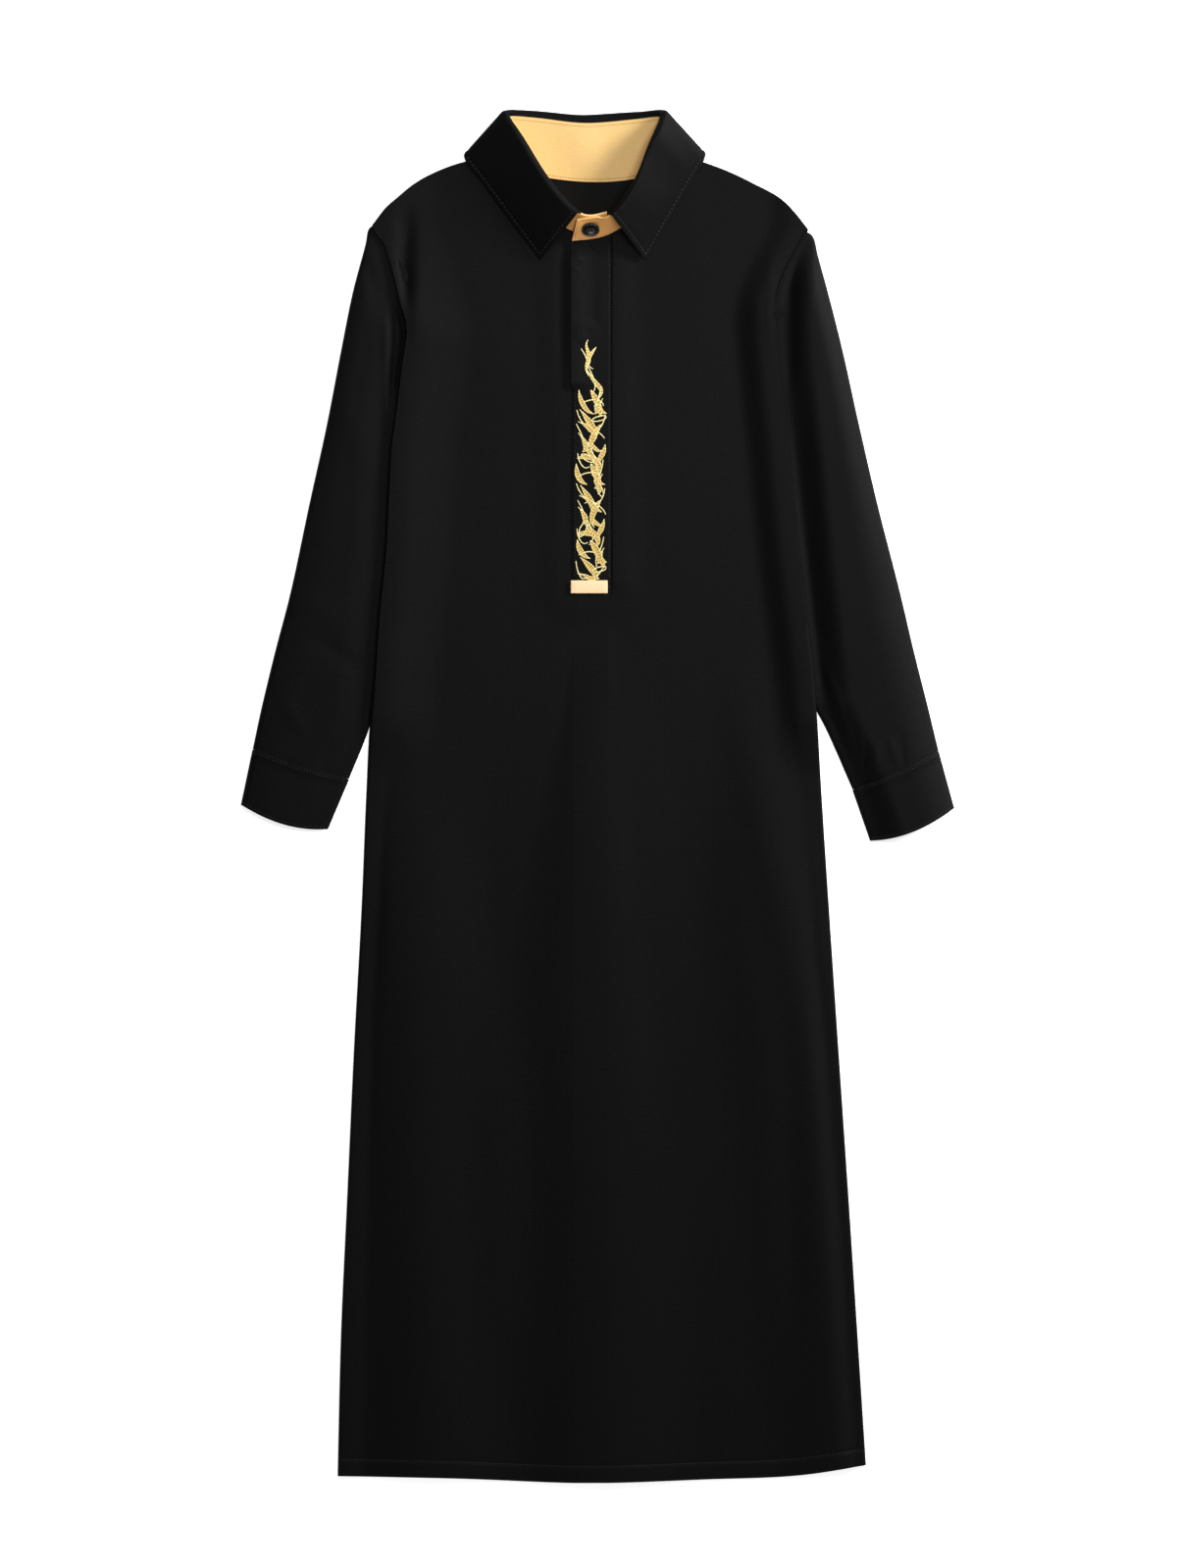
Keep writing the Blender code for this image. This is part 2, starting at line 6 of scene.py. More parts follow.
import bmesh
import bpy
import numpy as np
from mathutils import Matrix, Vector


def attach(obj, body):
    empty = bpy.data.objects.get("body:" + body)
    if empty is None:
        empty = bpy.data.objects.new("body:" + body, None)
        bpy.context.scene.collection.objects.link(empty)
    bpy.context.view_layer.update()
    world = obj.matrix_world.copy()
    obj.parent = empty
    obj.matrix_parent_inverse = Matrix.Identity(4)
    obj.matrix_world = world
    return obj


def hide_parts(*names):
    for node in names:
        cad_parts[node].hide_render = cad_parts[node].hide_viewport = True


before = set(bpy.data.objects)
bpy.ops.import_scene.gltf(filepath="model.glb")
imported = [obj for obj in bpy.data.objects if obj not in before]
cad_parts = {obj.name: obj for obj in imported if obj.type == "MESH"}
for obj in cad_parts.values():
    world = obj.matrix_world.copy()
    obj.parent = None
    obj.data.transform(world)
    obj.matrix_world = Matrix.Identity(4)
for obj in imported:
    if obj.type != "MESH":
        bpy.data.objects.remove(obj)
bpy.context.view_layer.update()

MM = 0.001

# ---------------------------------------------------------------- camera, floor and light
# The garment lies on a white table that is lit from below, under a camera that looks straight
# down on it. A low soft box rakes it from the right, a second hangs above the chest, and a weak
# third fills in from beyond the hem.
VIEW_HEIGHT = 16.0
VIEW_LONG_SIDE = 1.631
VIEW_X = -9.2
VIEW_Y = 13.8
SENSOR = 36.0
FLOOR_SIZE = 60.0
FLOOR_Z = -0.0002

camera_data = bpy.data.cameras.new("camera")
camera_data.sensor_width = SENSOR
camera_data.lens = SENSOR * VIEW_HEIGHT / VIEW_LONG_SIDE
camera = bpy.data.objects.new("camera", camera_data)
camera.location = (VIEW_X * MM, VIEW_Y * MM, VIEW_HEIGHT)
bpy.context.scene.collection.objects.link(camera)
bpy.context.scene.camera = camera
bpy.context.scene.view_settings.view_transform = "Standard"
bpy.context.scene.view_settings.gamma = 0.88


def linear(hex_colour):
    """An sRGB hex colour as linear red, green, blue and alpha."""
    parts = [int(hex_colour[i:i + 2], 16) / 255 for i in (1, 3, 5)]
    return (*[c / 12.92 if c <= 0.04045 else ((c + 0.055) / 1.055) ** 2.4 for c in parts], 1.0)


def add_node(material, kind, settings=None, links=None):
    """Adds a node, sets its fields and sockets by name, and links outputs to its sockets."""
    node = material.node_tree.nodes.new(kind)
    for name, value in (settings or {}).items():
        if isinstance(name, int) or name in node.inputs:
            node.inputs[name].default_value = value
        else:
            setattr(node, name, value)
    for name, output in (links or {}).items():
        material.node_tree.links.new(output, node.inputs[name])
    return node


def new_finish(name, settings):
    """A material whose one shader has these settings."""
    material = bpy.data.materials.new(name)
    material.use_nodes = True
    shader = material.node_tree.nodes["Principled BSDF"]
    for socket, value in settings.items():
        shader.inputs[socket].default_value = value
    return material, shader


def add_relief(material, shader, height, strength, distance):
    """Lets a pattern's height dent the surface, by this many metres at the most."""
    bump = add_node(
        material, "ShaderNodeBump", {"Strength": strength, "Distance": distance}, {"Height": height}
    )
    material.node_tree.links.new(bump.outputs["Normal"], shader.inputs["Normal"])


# Opal acrylic lit from below: pure white, with hardly any shadow on it.
sweep, _ = new_finish(
    "lit_white_acrylic",
    {"Base Color": linear("#f2f2f2"), "Roughness": 0.9, "Emission Color": linear("#ffffff"),
     "Emission Strength": 0.75},
)
bpy.ops.object.select_all(action="DESELECT")
bpy.ops.mesh.primitive_plane_add(size=FLOOR_SIZE, location=(0, 0, FLOOR_Z))
floor = bpy.context.object
floor.name = "floor"
floor.data.materials.append(sweep)


def soft_box(name, place, aim, width, depth, watts):
    """A rectangular soft light that faces its aim."""
    light = bpy.data.lights.new(name, "AREA")
    light.shape = "RECTANGLE"
    light.size = width
    light.size_y = depth
    light.energy = watts
    lamp = bpy.data.objects.new(name, light)
    lamp.location = place
    lamp.rotation_euler = (Vector(aim) - Vector(place)).to_track_quat("-Z", "Y").to_euler()
    bpy.context.scene.collection.objects.link(lamp)


soft_box("raking_light", (2.2, 1.35, 1.1), (0.0, 0.0, 0.0), 0.8, 0.8, 98)
soft_box("overhead_light", (0.25, 0.75, 1.7), (0.05, 0.35, 0.0), 0.8, 0.8, 19)
soft_box("low_front_fill", (-0.1, -2.2, 0.7), (0.0, 0.45, 0.0), 0.6, 0.6, 11)
room = bpy.data.worlds.new("pale_room")
room.use_nodes = True
room.node_tree.nodes["Background"].inputs["Color"].default_value = linear("#ffffff")
room.node_tree.nodes["Background"].inputs["Strength"].default_value = 0.1
bpy.context.scene.world = room

# ---------------------------------------------------------------- back body
# The back is one panel of black suiting, the widest cut piece. It lies flat on the table, its
# sides sewn to the front's, and shows only inside the neck, below the collar stand.
CLOTH = 1.2
SEAM = 0.3
LAYER = CLOTH + SEAM
FLOOR_LAYER = CLOTH / 2
FRONT_LAYER = FLOOR_LAYER + LAYER
ARMHOLE_Y = 490
SHOULDER_Y = 594
HEM_Y = -706
SLIT_FOOT = 219.0
SLEEVE_UNDER = 16.0
TURN_UNDER = 34.0
HEM_BAND = 30.0

# The side folds and armhole edges: y, left x, right x
BODY_EDGES = np.array((
    (-706, -269.5, 279.5), (-559, -266.0, 270.0), (-415, -259.5, 260.6), (-262, -252.5, 250.2),
    (-109, -244.3, 239.9), (3, -239.7, 232.6), (75, -236.0, 228.3), (129, -230.8, 224.3),
    (190, -226.6, 217.2), (250, -220.4, 209.8), (320, -216.6, 202.2), (365, -213.8, 197.9),
    (400, -208.8, 194.0), (447, -202.8, 188.9), (485, -198.2, 185.9), (515, -206.0, 187.0),
    (545, -213.2, 196.0), (577, -224.0, 212.7), (594, -234.6, 222.0),
))
# The hem and the shoulders, from left to right: x, y
HEM = np.array((
    (-269.5, -706.0), (-159.0, -708.0), (-12.0, -713.0), (112.0, -709.5), (216.0, -704.5),
    (279.5, -694.5),
))
LEFT_SHOULDER = np.array((
    (-234.6, 594.0), (-219.0, 614.0), (-208.0, 623.5), (-193.8, 635.5), (-160.0, 653.8),
    (-137.7, 661.0), (-108.0, 664.0),
))
RIGHT_SHOULDER = np.array((
    (98.0, 664.0), (112.0, 660.0), (123.4, 656.0), (160.0, 639.5), (199.0, 615.0),
    (207.0, 606.0), (222.0, 586.5),
))
NECK_X = -5.0
NECK_HALF = 103.0
NECK_SIDE_Y = 664.0
BACK_NECK = (20.0, 0.8)
FRONT_NECK = (86.0, 0.7)


def smooth(low, high, value):
    """0 below low, 1 above high, and an even rise between."""
    t = np.clip((np.asarray(value, float) - low) / (high - low), 0.0, 1.0)
    return t * t * (3 - 2 * t)


def curve_at(knots, values, at):
    """A smooth curve through values at the knots, read at these places."""
    slopes = np.gradient(values, knots)
    at = np.clip(at, knots[0], knots[-1])
    i = np.clip(np.searchsorted(knots, at, side="right") - 1, 0, len(knots) - 2)
    span = knots[i + 1] - knots[i]
    t = (at - knots[i]) / span
    start = (2 * t**3 - 3 * t**2 + 1) * values[i] + (t**3 - 2 * t**2 + t) * span * slopes[i]
    end = (3 * t**2 - 2 * t**3) * values[i + 1] + (t**3 - t**2) * span * slopes[i + 1]
    return start + end


def body_edges(y):
    """The body's left and right edges at this height."""
    knots = BODY_EDGES[:, 0]
    return curve_at(knots, BODY_EDGES[:, 1], y), curve_at(knots, BODY_EDGES[:, 2], y)


def upper_edge(x, neck):
    """The upper edge of a body panel: shoulder, neckline, shoulder."""
    drop, power = neck
    t = np.minimum(np.abs(x - NECK_X) / NECK_HALF, 1.0)
    neckline = NECK_SIDE_Y - drop * (1 - t**1.3) ** power
    left = curve_at(LEFT_SHOULDER[:, 0], LEFT_SHOULDER[:, 1], x)
    right = curve_at(RIGHT_SHOULDER[:, 0], RIGHT_SHOULDER[:, 1], x)
    outside_neck = np.where(x < NECK_X, left, right)
    return np.where(np.abs(x - NECK_X) < NECK_HALF, neckline, outside_neck)


def row_y(x, share, upper, neck):
    """A row's y at x: from the hem to the slit's foot, or from there to the upper edge."""
    if upper:
        return SLIT_FOOT + (upper_edge(x, neck) - SLIT_FOOT) * share
    hem = curve_at(HEM[:, 0], HEM[:, 1], x)
    return hem + (SLIT_FOOT - hem) * share


def row_ends(share, upper):
    """Where a row meets the body's left and right edges."""
    left, right = BODY_EDGES[0, 1], BODY_EDGES[0, 2]
    for _ in range(8):
        left_y = float(row_y(left, share, upper, FRONT_NECK))
        right_y = float(row_y(right, share, upper, FRONT_NECK))
        left, right = float(body_edges(left_y)[0]), float(body_edges(right_y)[1])
    return left, left_y, right, right_y


def body_rows(hem_rows, skirt_rows, upper_rows):
    """The shares of a body panel's rows, closer together in the hem."""
    length = SLIT_FOOT - HEM_Y
    hem = [HEM_BAND * i / hem_rows / length for i in range(hem_rows)]
    skirt = [HEM_BAND / length + (1 - HEM_BAND / length) * i / skirt_rows for i in range(skirt_rows + 1)]
    top = [(i + 1) / upper_rows for i in range(upper_rows)]
    return [(s, False) for s in hem + skirt] + [(s, True) for s in top]


def thread_lie(points, across, down):
    """Each point's distance along the weft from the middle column, and along the warp."""
    weft_steps = np.linalg.norm(np.diff(points, axis=1), axis=2)
    weft = np.concatenate([np.zeros((down, 1)), np.cumsum(weft_steps, axis=1)], axis=1)
    weft -= weft[:, across // 2, None]
    warp_steps = np.linalg.norm(np.diff(points[:, across // 2], axis=0), axis=1)
    warp = np.concatenate([[0.0], np.cumsum(warp_steps)])
    return np.stack([weft, np.repeat(warp[:, None], across, axis=1)], axis=2)


def lay_cloth(name, rows, thick, finish, cut_away=None, tube=False):
    """A panel: a grid put through rows of points from its foot up, then given its thickness."""
    points = np.asarray(rows, float) * MM
    down, across = points.shape[:2]
    bpy.ops.object.select_all(action="DESELECT")
    bpy.ops.mesh.primitive_grid_add(x_subdivisions=across - 1, y_subdivisions=down - 1, size=2)
    piece = bpy.context.object
    piece.name = name
    mesh = piece.data
    flat = np.empty(len(mesh.vertices) * 3)
    mesh.vertices.foreach_get("co", flat)
    flat = flat.reshape(-1, 3)
    column = np.rint((flat[:, 0] + 1) / 2 * (across - 1)).astype(int)
    row = np.rint((flat[:, 1] + 1) / 2 * (down - 1)).astype(int)
    corner = np.empty(len(mesh.loops), int)
    mesh.loops.foreach_get("vertex_index", corner)
    lie = thread_lie(points, across, down)[row, column][corner]
    mesh.uv_layers[0].data.foreach_set("uv", lie.ravel())
    mesh.vertices.foreach_set("co", points[row, column].ravel())
    bpy.context.tool_settings.mesh_select_mode = (False, False, True)
    bpy.ops.object.mode_set(mode="EDIT")
    if tube:
        bpy.ops.mesh.select_all(action="SELECT")
        bpy.ops.mesh.remove_doubles(threshold=1e-6)
    if cut_away is not None:
        bpy.ops.mesh.select_all(action="DESELECT")
        bpy.ops.object.mode_set(mode="OBJECT")
        quads = corner.reshape(-1, 4)
        first = (row[quads].min(axis=1), column[quads].min(axis=1))
        mesh.polygons.foreach_set("select", cut_away[first])
        bpy.ops.object.mode_set(mode="EDIT")
        bpy.ops.mesh.delete(type="FACE")
    bpy.ops.object.mode_set(mode="OBJECT")
    solidify = piece.modifiers.new("cloth", "SOLIDIFY")
    solidify.thickness = thick * MM
    solidify.offset = 0.0
    solidify.use_even_offset = True
    solidify.use_quality_normals = True
    bpy.ops.object.modifier_apply(modifier=solidify.name)
    bpy.ops.object.shade_smooth_by_angle(angle=math.radians(50))
    mesh.materials.append(finish)
    return piece


# Polyester and viscose suiting, woven and left unpressed: nearly black, dull, with a faint bloom
# of short fibres that pales where the cloth turns away.
SUITING_YARN = 0.9  # the real yarns are 0.35 mm, drawn coarser so that they show
SUITING_DARK = "#030303"
SUITING_PALE = "#1b1b1b"


def woven_finish(name, settings, dark, pale, yarn, slub, raise_mm):
    """A plain weave on the piece's own threads: fine yarns that cross, with thicker stretches."""
    material, shader = new_finish(name, settings)
    threads = add_node(material, "ShaderNodeUVMap").outputs["UV"]
    density = math.pi / (yarn * MM)
    crossing = []
    for turn in (0.0, math.pi / 2):
        lay = add_node(material, "ShaderNodeMapping", {"Rotation": (0, 0, turn)}, {"Vector": threads})
        wave = add_node(
            material, "ShaderNodeTexWave",
            {"Scale": density / 20, "Distortion": 2.5, "Detail": 2.0, "Detail Scale": 3.0},
            {"Vector": lay.outputs["Vector"]},
        )
        crossing.append(wave.outputs["Fac"])
    weave = add_node(
        material, "ShaderNodeMath", {"operation": "MULTIPLY"}, {0: crossing[0], 1: crossing[1]}
    )
    thick_yarns = add_node(
        material, "ShaderNodeMapping", {"Scale": (1 / (slub * 3.0 * MM), 1 / (slub * MM), 1)},
        {"Vector": threads},
    )
    slubs = add_node(
        material, "ShaderNodeTexNoise", {"Scale": 1.0, "Detail": 3.0, "Roughness": 0.7},
        {"Vector": thick_yarns.outputs["Vector"]},
    )
    surface = add_node(
        material, "ShaderNodeMix", {"data_type": "FLOAT", "Factor": 0.55},
        {2: weave.outputs[0], 3: slubs.outputs["Fac"]},
    )
    tint = add_node(
        material, "ShaderNodeMix",
        {"data_type": "RGBA", "clamp_factor": True, 6: linear(dark), 7: linear(pale)},
        {0: surface.outputs[0]},
    )
    material.node_tree.links.new(tint.outputs[2], shader.inputs["Base Color"])
    add_relief(material, shader, surface.outputs[0], 0.6, raise_mm * MM)
    return material


suiting = woven_finish(
    "black_viscose_suiting",
    {"Roughness": 0.62, "Specular IOR Level": 0.1, "Sheen Weight": 0.01, "Sheen Roughness": 0.5,
     "Sheen Tint": linear("#c8c8c8")},
    SUITING_DARK, SUITING_PALE, SUITING_YARN, 2.0, 0.3,
)

BACK_COLUMNS = 60


def back_inset(y):
    """How far the back's seam lies inside the body's fold or armhole edge."""
    folded = TURN_UNDER + SEAM
    at_armhole = SLEEVE_UNDER + CLOTH / 2 + SEAM
    return folded + (at_armhole - folded) * float(smooth(ARMHOLE_Y, ARMHOLE_Y + 40, y))


def back_row(share, upper):
    """One row of the back, flat on the table between its two seams."""
    left, left_y, right, right_y = row_ends(share, upper)
    x = np.linspace(left + back_inset(left_y), right - back_inset(right_y), BACK_COLUMNS + 1)
    y = row_y(x, share, upper, BACK_NECK)
    y[0], y[-1] = left_y, right_y
    return np.stack([x, y, np.full_like(x, FLOOR_LAYER)], axis=1)


back_rows = [back_row(*row) for row in body_rows(4, 60, 50)]
back = lay_cloth("back_panel", back_rows, CLOTH, suiting)
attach(back, "root")
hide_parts("back_body")

# ---------------------------------------------------------------- front body
# The front is cut wider than it lies: its sides wrap round the side folds and turn under, where
# the seams join the back. It lies in long soft flutes that open towards the hem.
FOLD_RADIUS = 1.8
LIFT_LOW = 8.0
LIFT_HIGH = 5.0
LIFT_LEFT_REACH = 72.0
LIFT_RIGHT_REACH = 46.0
SLIT_LEFT = -23.5
SLIT_RIGHT = 10.2
SLIT_RAISE = LAYER
SEAM_RIDGE_X = 14.1
SEAM_RIDGE = 1.5
HEM_STITCH = 17.5

# Flutes of the skirt: ridge x at its top, top y, ridge x at the hem, the left side's width at
# its top and at the hem, the right side's width, rise
FLUTES = (
    (-190, 120, -176, 70, 85, 90, 7.0),
    (-14, 200, 8, 20, 100, 112, 8.5),
    (146, 190, 276, 38, 100, 60, 8.5),
)
# Soft creases: x and y at both ends, half width, rise (a trough is below 0)
FRONT_CREASES = (
    (-199, 616, -202, 500, 9, -4.4),
    (-36, 590, -36, 428, 4.5, -1.7),
    (-8, 574, 6, 562, 4, 0.5),
    (-186, 560, -190, 470, 9, 1.0),
    (180, 560, 180, 470, 5, 0.8),
    (-120, 500, -60, 380, 30, 0.6),
    (70, 520, 110, 400, 34, 0.5),
    (28, 62, 71, -365, 20, -0.9),
    (137, 46, 200, -300, 16, -1.1),
    (196, -190, 208, -600, 18, -2.2),
    (206, 36, 243, -230, 9, 1.2),
    (-98, -230, -100, -600, 24, 2.4),
    (-30, 190, -36, 40, 9, -0.5),
    (8, 196, 14, 90, 7, 0.5),
    (40, 560, 24, 440, 10, -0.5),
)


def press_creases(x, y, creases):
    """The height that a list of soft creases adds at each point."""
    height = np.zeros(np.broadcast(x, y).shape)
    for x0, y0, x1, y1, half_width, rise in creases:
        along = np.array((x1 - x0, y1 - y0), float)
        length = np.hypot(*along)
        along /= length
        t = ((x - x0) * along[0] + (y - y0) * along[1]) / length
        aside = (x - x0) * along[1] - (y - y0) * along[0]
        ends = smooth(-0.12, 0.3, t) * (1 - smooth(0.65, 1.12, t))
        height += rise * ends * np.exp(-((aside / half_width) ** 2))
    return height


def slack(x, y):
    """The faint unevenness of cloth that was smoothed by hand."""
    slow = np.sin(x / 61 + y / 173 + 0.6) * np.sin(y / 97 - x / 260 + 1.9)
    quick = np.sin(x / 23 - y / 119 + 2.2) * np.sin(y / 41 + x / 87)
    return 0.5 * slow + 0.16 * quick


def inside_edge(x, y):
    """How far a point lies inside the nearer side edge of the body."""
    left, right = body_edges(y)
    return np.minimum(x - left, right - x)


def side_lift(y):
    """How far the body's side is held up by the sleeve beneath it."""
    return smooth(18, 90, y) * (LIFT_LOW + (LIFT_HIGH - LIFT_LOW) * smooth(500, 575, y))


def lift(x, y):
    """The rise of the front's upper layer towards its sides, where they lie on the sleeves."""
    left, right = body_edges(y)
    from_left = 1 - smooth(15, LIFT_LEFT_REACH, x - left)
    from_right = 1 - smooth(15, LIFT_RIGHT_REACH, right - x)
    return side_lift(y) * np.maximum(from_left, from_right)


def under_lift(x, y):
    """The rise of the part that is turned under, down to the seam with the back."""
    return side_lift(y) * (1 - smooth(14, TURN_UNDER - 1, inside_edge(x, y)))


def flute_rise(x, y):
    """The height of the skirt's flutes, which fade in from their tops to the hem."""
    rise = np.zeros(np.broadcast(x, y).shape)
    for top_x, top_y, hem_x, left_top, left_hem, right, height in FLUTES:
        t = np.clip((top_y - y) / (top_y - HEM_Y), 0.0, 1.0)
        ridge = top_x + (hem_x - top_x) * t
        left = left_top + (left_hem - left_top) * smooth(0.0, 0.5, t)
        across = np.minimum(np.abs(x - ridge) / np.where(x < ridge, left, right), 1.0)
        rise += height * smooth(0.0, 0.35, t) * (0.5 + 0.5 * np.cos(math.pi * across))
    return rise


def front_height(x, y):
    """The middle of the front's upper layer."""
    inside = inside_edge(x, y)
    folded = 1 - smooth(ARMHOLE_Y, ARMHOLE_Y + 45, y)
    roll = (FLOOR_LAYER + 2 * FOLD_RADIUS - FRONT_LAYER) * (1 - smooth(5, 42, inside)) * folded
    from_slit = np.maximum(np.maximum(SLIT_LEFT - x, x - SLIT_RIGHT), 0.0)
    slit_near = np.hypot(from_slit, np.maximum(SLIT_FOOT - y, 0.0))
    raise_here = SLIT_RAISE * (1 - smooth(14, 48, slit_near))
    from_placket = x - SEAM_RIDGE_X
    beside_placket = smooth(0, 1.2, from_placket) * (1 - smooth(6, 34, from_placket))
    raise_here += SEAM_RIDGE * beside_placket * smooth(SLIT_FOOT - 14, SLIT_FOOT + 10, y)
    inner = smooth(0, 30, inside)
    body = np.maximum(roll, flute_rise(x, y) * inner)
    creases = press_creases(x, y, FRONT_CREASES) * smooth(0, 12, inside)
    full = lift(x, y) + body + raise_here + creases + slack(x, y) * inner
    return FRONT_LAYER + np.maximum(full, -0.2)


def hem_press(up_from_hem):
    """The pressed double hem: a shallow line at its stitches, above a slightly full fold."""
    line = -0.45 * np.exp(-(((up_from_hem - HEM_STITCH) / 1.6) ** 2))
    return line + 0.35 * (1 - smooth(HEM_STITCH - 3, HEM_STITCH, up_from_hem))


EDGE_ARC = tuple(math.radians(a) for a in (-66, -40, -14, 14, 40, 66))
TURN_INSIDE = (34.0, 28.0, 22.0, 16.0, 11.0, 6.0, 2.6)
HALF_COLUMNS = 54


def turned_edge(edge, y, side):
    """The part of a row that is turned under, from its inner end out to the fold."""
    inside = np.array(TURN_INSIDE)
    under_x = edge - side * inside
    under = np.stack([under_x, np.full_like(under_x, y), FLOOR_LAYER + under_lift(under_x, y)], axis=1)
    arc = np.array(EDGE_ARC)
    arc_x = edge - side * FOLD_RADIUS * (1 - np.cos(arc))
    arc_z = FLOOR_LAYER + side_lift(y) + FOLD_RADIUS * (1 + np.sin(arc))
    return np.concatenate([under, np.stack([arc_x, np.full_like(arc_x, y), arc_z], axis=1)])


def front_half(edge, edge_y, slit, share, upper):
    """A half of a row, from a side fold to the slit, closer together at both ends."""
    even = np.linspace(0.0, 1.0, HALF_COLUMNS + 1)[1:]
    x = edge + (slit - edge) * even**1.3 / (even**1.3 + (1 - even) ** 1.7)
    y = row_y(x, share, upper, FRONT_NECK)
    z = front_height(x, y)
    if not upper:
        z += hem_press(y - curve_at(HEM[:, 0], HEM[:, 1], x))
    return np.stack([x, y, z], axis=1)


def front_row(share, upper):
    """One row of the front, from the left turn-under to the right one."""
    left, left_y, right, right_y = row_ends(share, upper)
    left_half = front_half(left, left_y, SLIT_LEFT, share, upper)
    right_half = front_half(right, right_y, SLIT_RIGHT, share, upper)
    left_turn, right_turn = turned_edge(left, left_y, -1), turned_edge(right, right_y, 1)
    return np.concatenate([left_turn, left_half, right_half[::-1], right_turn[::-1]])


front_shares = body_rows(24, 150, 115)
front_rows = np.array([front_row(*row) for row in front_shares])
turned = len(TURN_INSIDE) + len(EDGE_ARC)
slit_column = turned + HALF_COLUMNS - 1
above_slit = np.array([upper for _, upper in front_shares])
above_slit[:-1] |= above_slit[1:]
front_cut = np.zeros(front_rows.shape[:2], bool)
front_cut[above_slit, slit_column] = True
front_cut[:-1, :turned - 1] |= front_rows[1:, :1, 1] > ARMHOLE_Y
front_cut[:-1, -turned:] |= front_rows[1:, -1:, 1] > ARMHOLE_Y
front = lay_cloth("front_panel", front_rows, CLOTH, suiting, front_cut)
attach(front, "root")
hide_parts("front_body")


def grid_normals(points):
    """The upward side of each point of a grid of rows."""
    normals = np.cross(np.gradient(points, axis=1), np.gradient(points, axis=0))
    return normals / np.maximum(np.linalg.norm(normals, axis=2, keepdims=True), 1e-9)


def line_inside(points, side, inset, start=0.0, end=1.0):
    """A line on a grid at a distance inside one side, with its upward directions."""
    normals = grid_normals(points)
    turn = {"foot": lambda g: g, "head": lambda g: g[::-1], "left": lambda g: g.transpose(1, 0, 2),
            "right": lambda g: g[:, ::-1].transpose(1, 0, 2)}[side]
    points, normals = turn(points), turn(normals)
    steps = np.linalg.norm(np.diff(points, axis=0), axis=2)
    depth = np.concatenate([np.zeros((1, points.shape[1])), np.cumsum(steps, axis=0)])
    line, up = [], []
    for j in range(points.shape[1]):
        line.append([np.interp(inset, depth[:, j], points[:, j, k]) for k in range(3)])
        up.append([np.interp(inset, depth[:, j], normals[:, j, k]) for k in range(3)])
    first, last = round(start * (len(line) - 1)), round(end * (len(line) - 1)) + 1
    return np.array(line[first:last]), np.array(up[first:last])


def sew(name, lines, stitch, gap, width, raised, finish):
    """One joined mesh of stitches along lines, each given as points and upward directions."""
    bpy.ops.object.select_all(action="DESELECT")
    bpy.ops.mesh.primitive_uv_sphere_add(segments=6, ring_count=4, radius=1.0)
    pattern = bpy.context.object
    shape = np.array([v.co for v in pattern.data.vertices])
    faces = [tuple(p.vertices) for p in pattern.data.polygons]
    bpy.data.objects.remove(pattern, do_unlink=True)
    shape = shape[:, (2, 0, 1)] * (stitch / 2, width / 2, width / 2)
    verts, polygons = [], []
    for points, up in lines:
        steps = np.linalg.norm(np.diff(points, axis=0), axis=1)
        along = np.concatenate([[0.0], np.cumsum(steps)])
        count = int(along[-1] // (stitch + gap))
        for i in range(count):
            middle = (i + 0.5) * (stitch + gap)
            ends = np.array([[np.interp(middle + s, along, points[:, k]) for k in range(3)]
                             for s in (-stitch / 2, stitch / 2)])
            lengthwise = ends[1] - ends[0]
            lengthwise /= np.linalg.norm(lengthwise)
            upward = np.array([np.interp(middle, along, up[:, k]) for k in range(3)])
            upward -= lengthwise * (upward @ lengthwise)
            upward /= np.linalg.norm(upward)
            sideways = np.cross(upward, lengthwise)
            centre = ends.mean(axis=0) + upward * raised
            start = len(verts)
            verts.extend(centre + shape @ np.array([lengthwise, sideways, upward]))
            polygons.extend(tuple(start + v for v in face) for face in faces)
    mesh = bpy.data.meshes.new(name)
    mesh.from_pydata([tuple(v * MM) for v in verts], [], polygons)
    mesh.materials.append(finish)
    mesh.shade_smooth()
    piece = bpy.data.objects.new(name, mesh)
    bpy.context.scene.collection.objects.link(piece)
    return piece


# Spun polyester sewing thread, twisted: black, a little glossier than the cloth.
black_thread, thread_shader = new_finish(
    "black_polyester_thread",
    {"Base Color": linear("#363636"), "Roughness": 0.5, "Specular IOR Level": 0.3},
)
thread_lay = add_node(black_thread, "ShaderNodeTexCoord").outputs["Object"]
thread_twist = add_node(
    black_thread, "ShaderNodeTexNoise", {"Scale": 2500.0, "Detail": 2.0}, {"Vector": thread_lay}
)
add_relief(black_thread, thread_shader, thread_twist.outputs["Fac"], 0.5, 0.0001)

front_face = front_rows[:, turned:-turned]
hem_line = line_inside(front_face, "foot", HEM_STITCH, 0.01, 0.99)
hem_stitches = sew("hem_stitches", [hem_line], 2.6, 0.9, 0.5, CLOTH / 2 + 0.05, black_thread)
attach(hem_stitches, "root")

# ---------------------------------------------------------------- sleeves
# Each long sleeve is one piece folded at its outer edge. It lies as a flattened tube that tapers
# to the cuff, sewn to the armhole above and tucked under the body's side below.
SLEEVE_FLAT = 4.6
LEFT_LOFT = 3.0
RIGHT_LOFT = 11.0
ARCH_INNER = 38.0
ARCH_OUTER = 37.0
SLEEVE_ROWS = 150
SLEEVE_UPPER = 56
SLEEVE_LOWER = 20
SLEEVE_FOLD_REACH = 5.0
CUFF_SEAM_BOW = 3.5

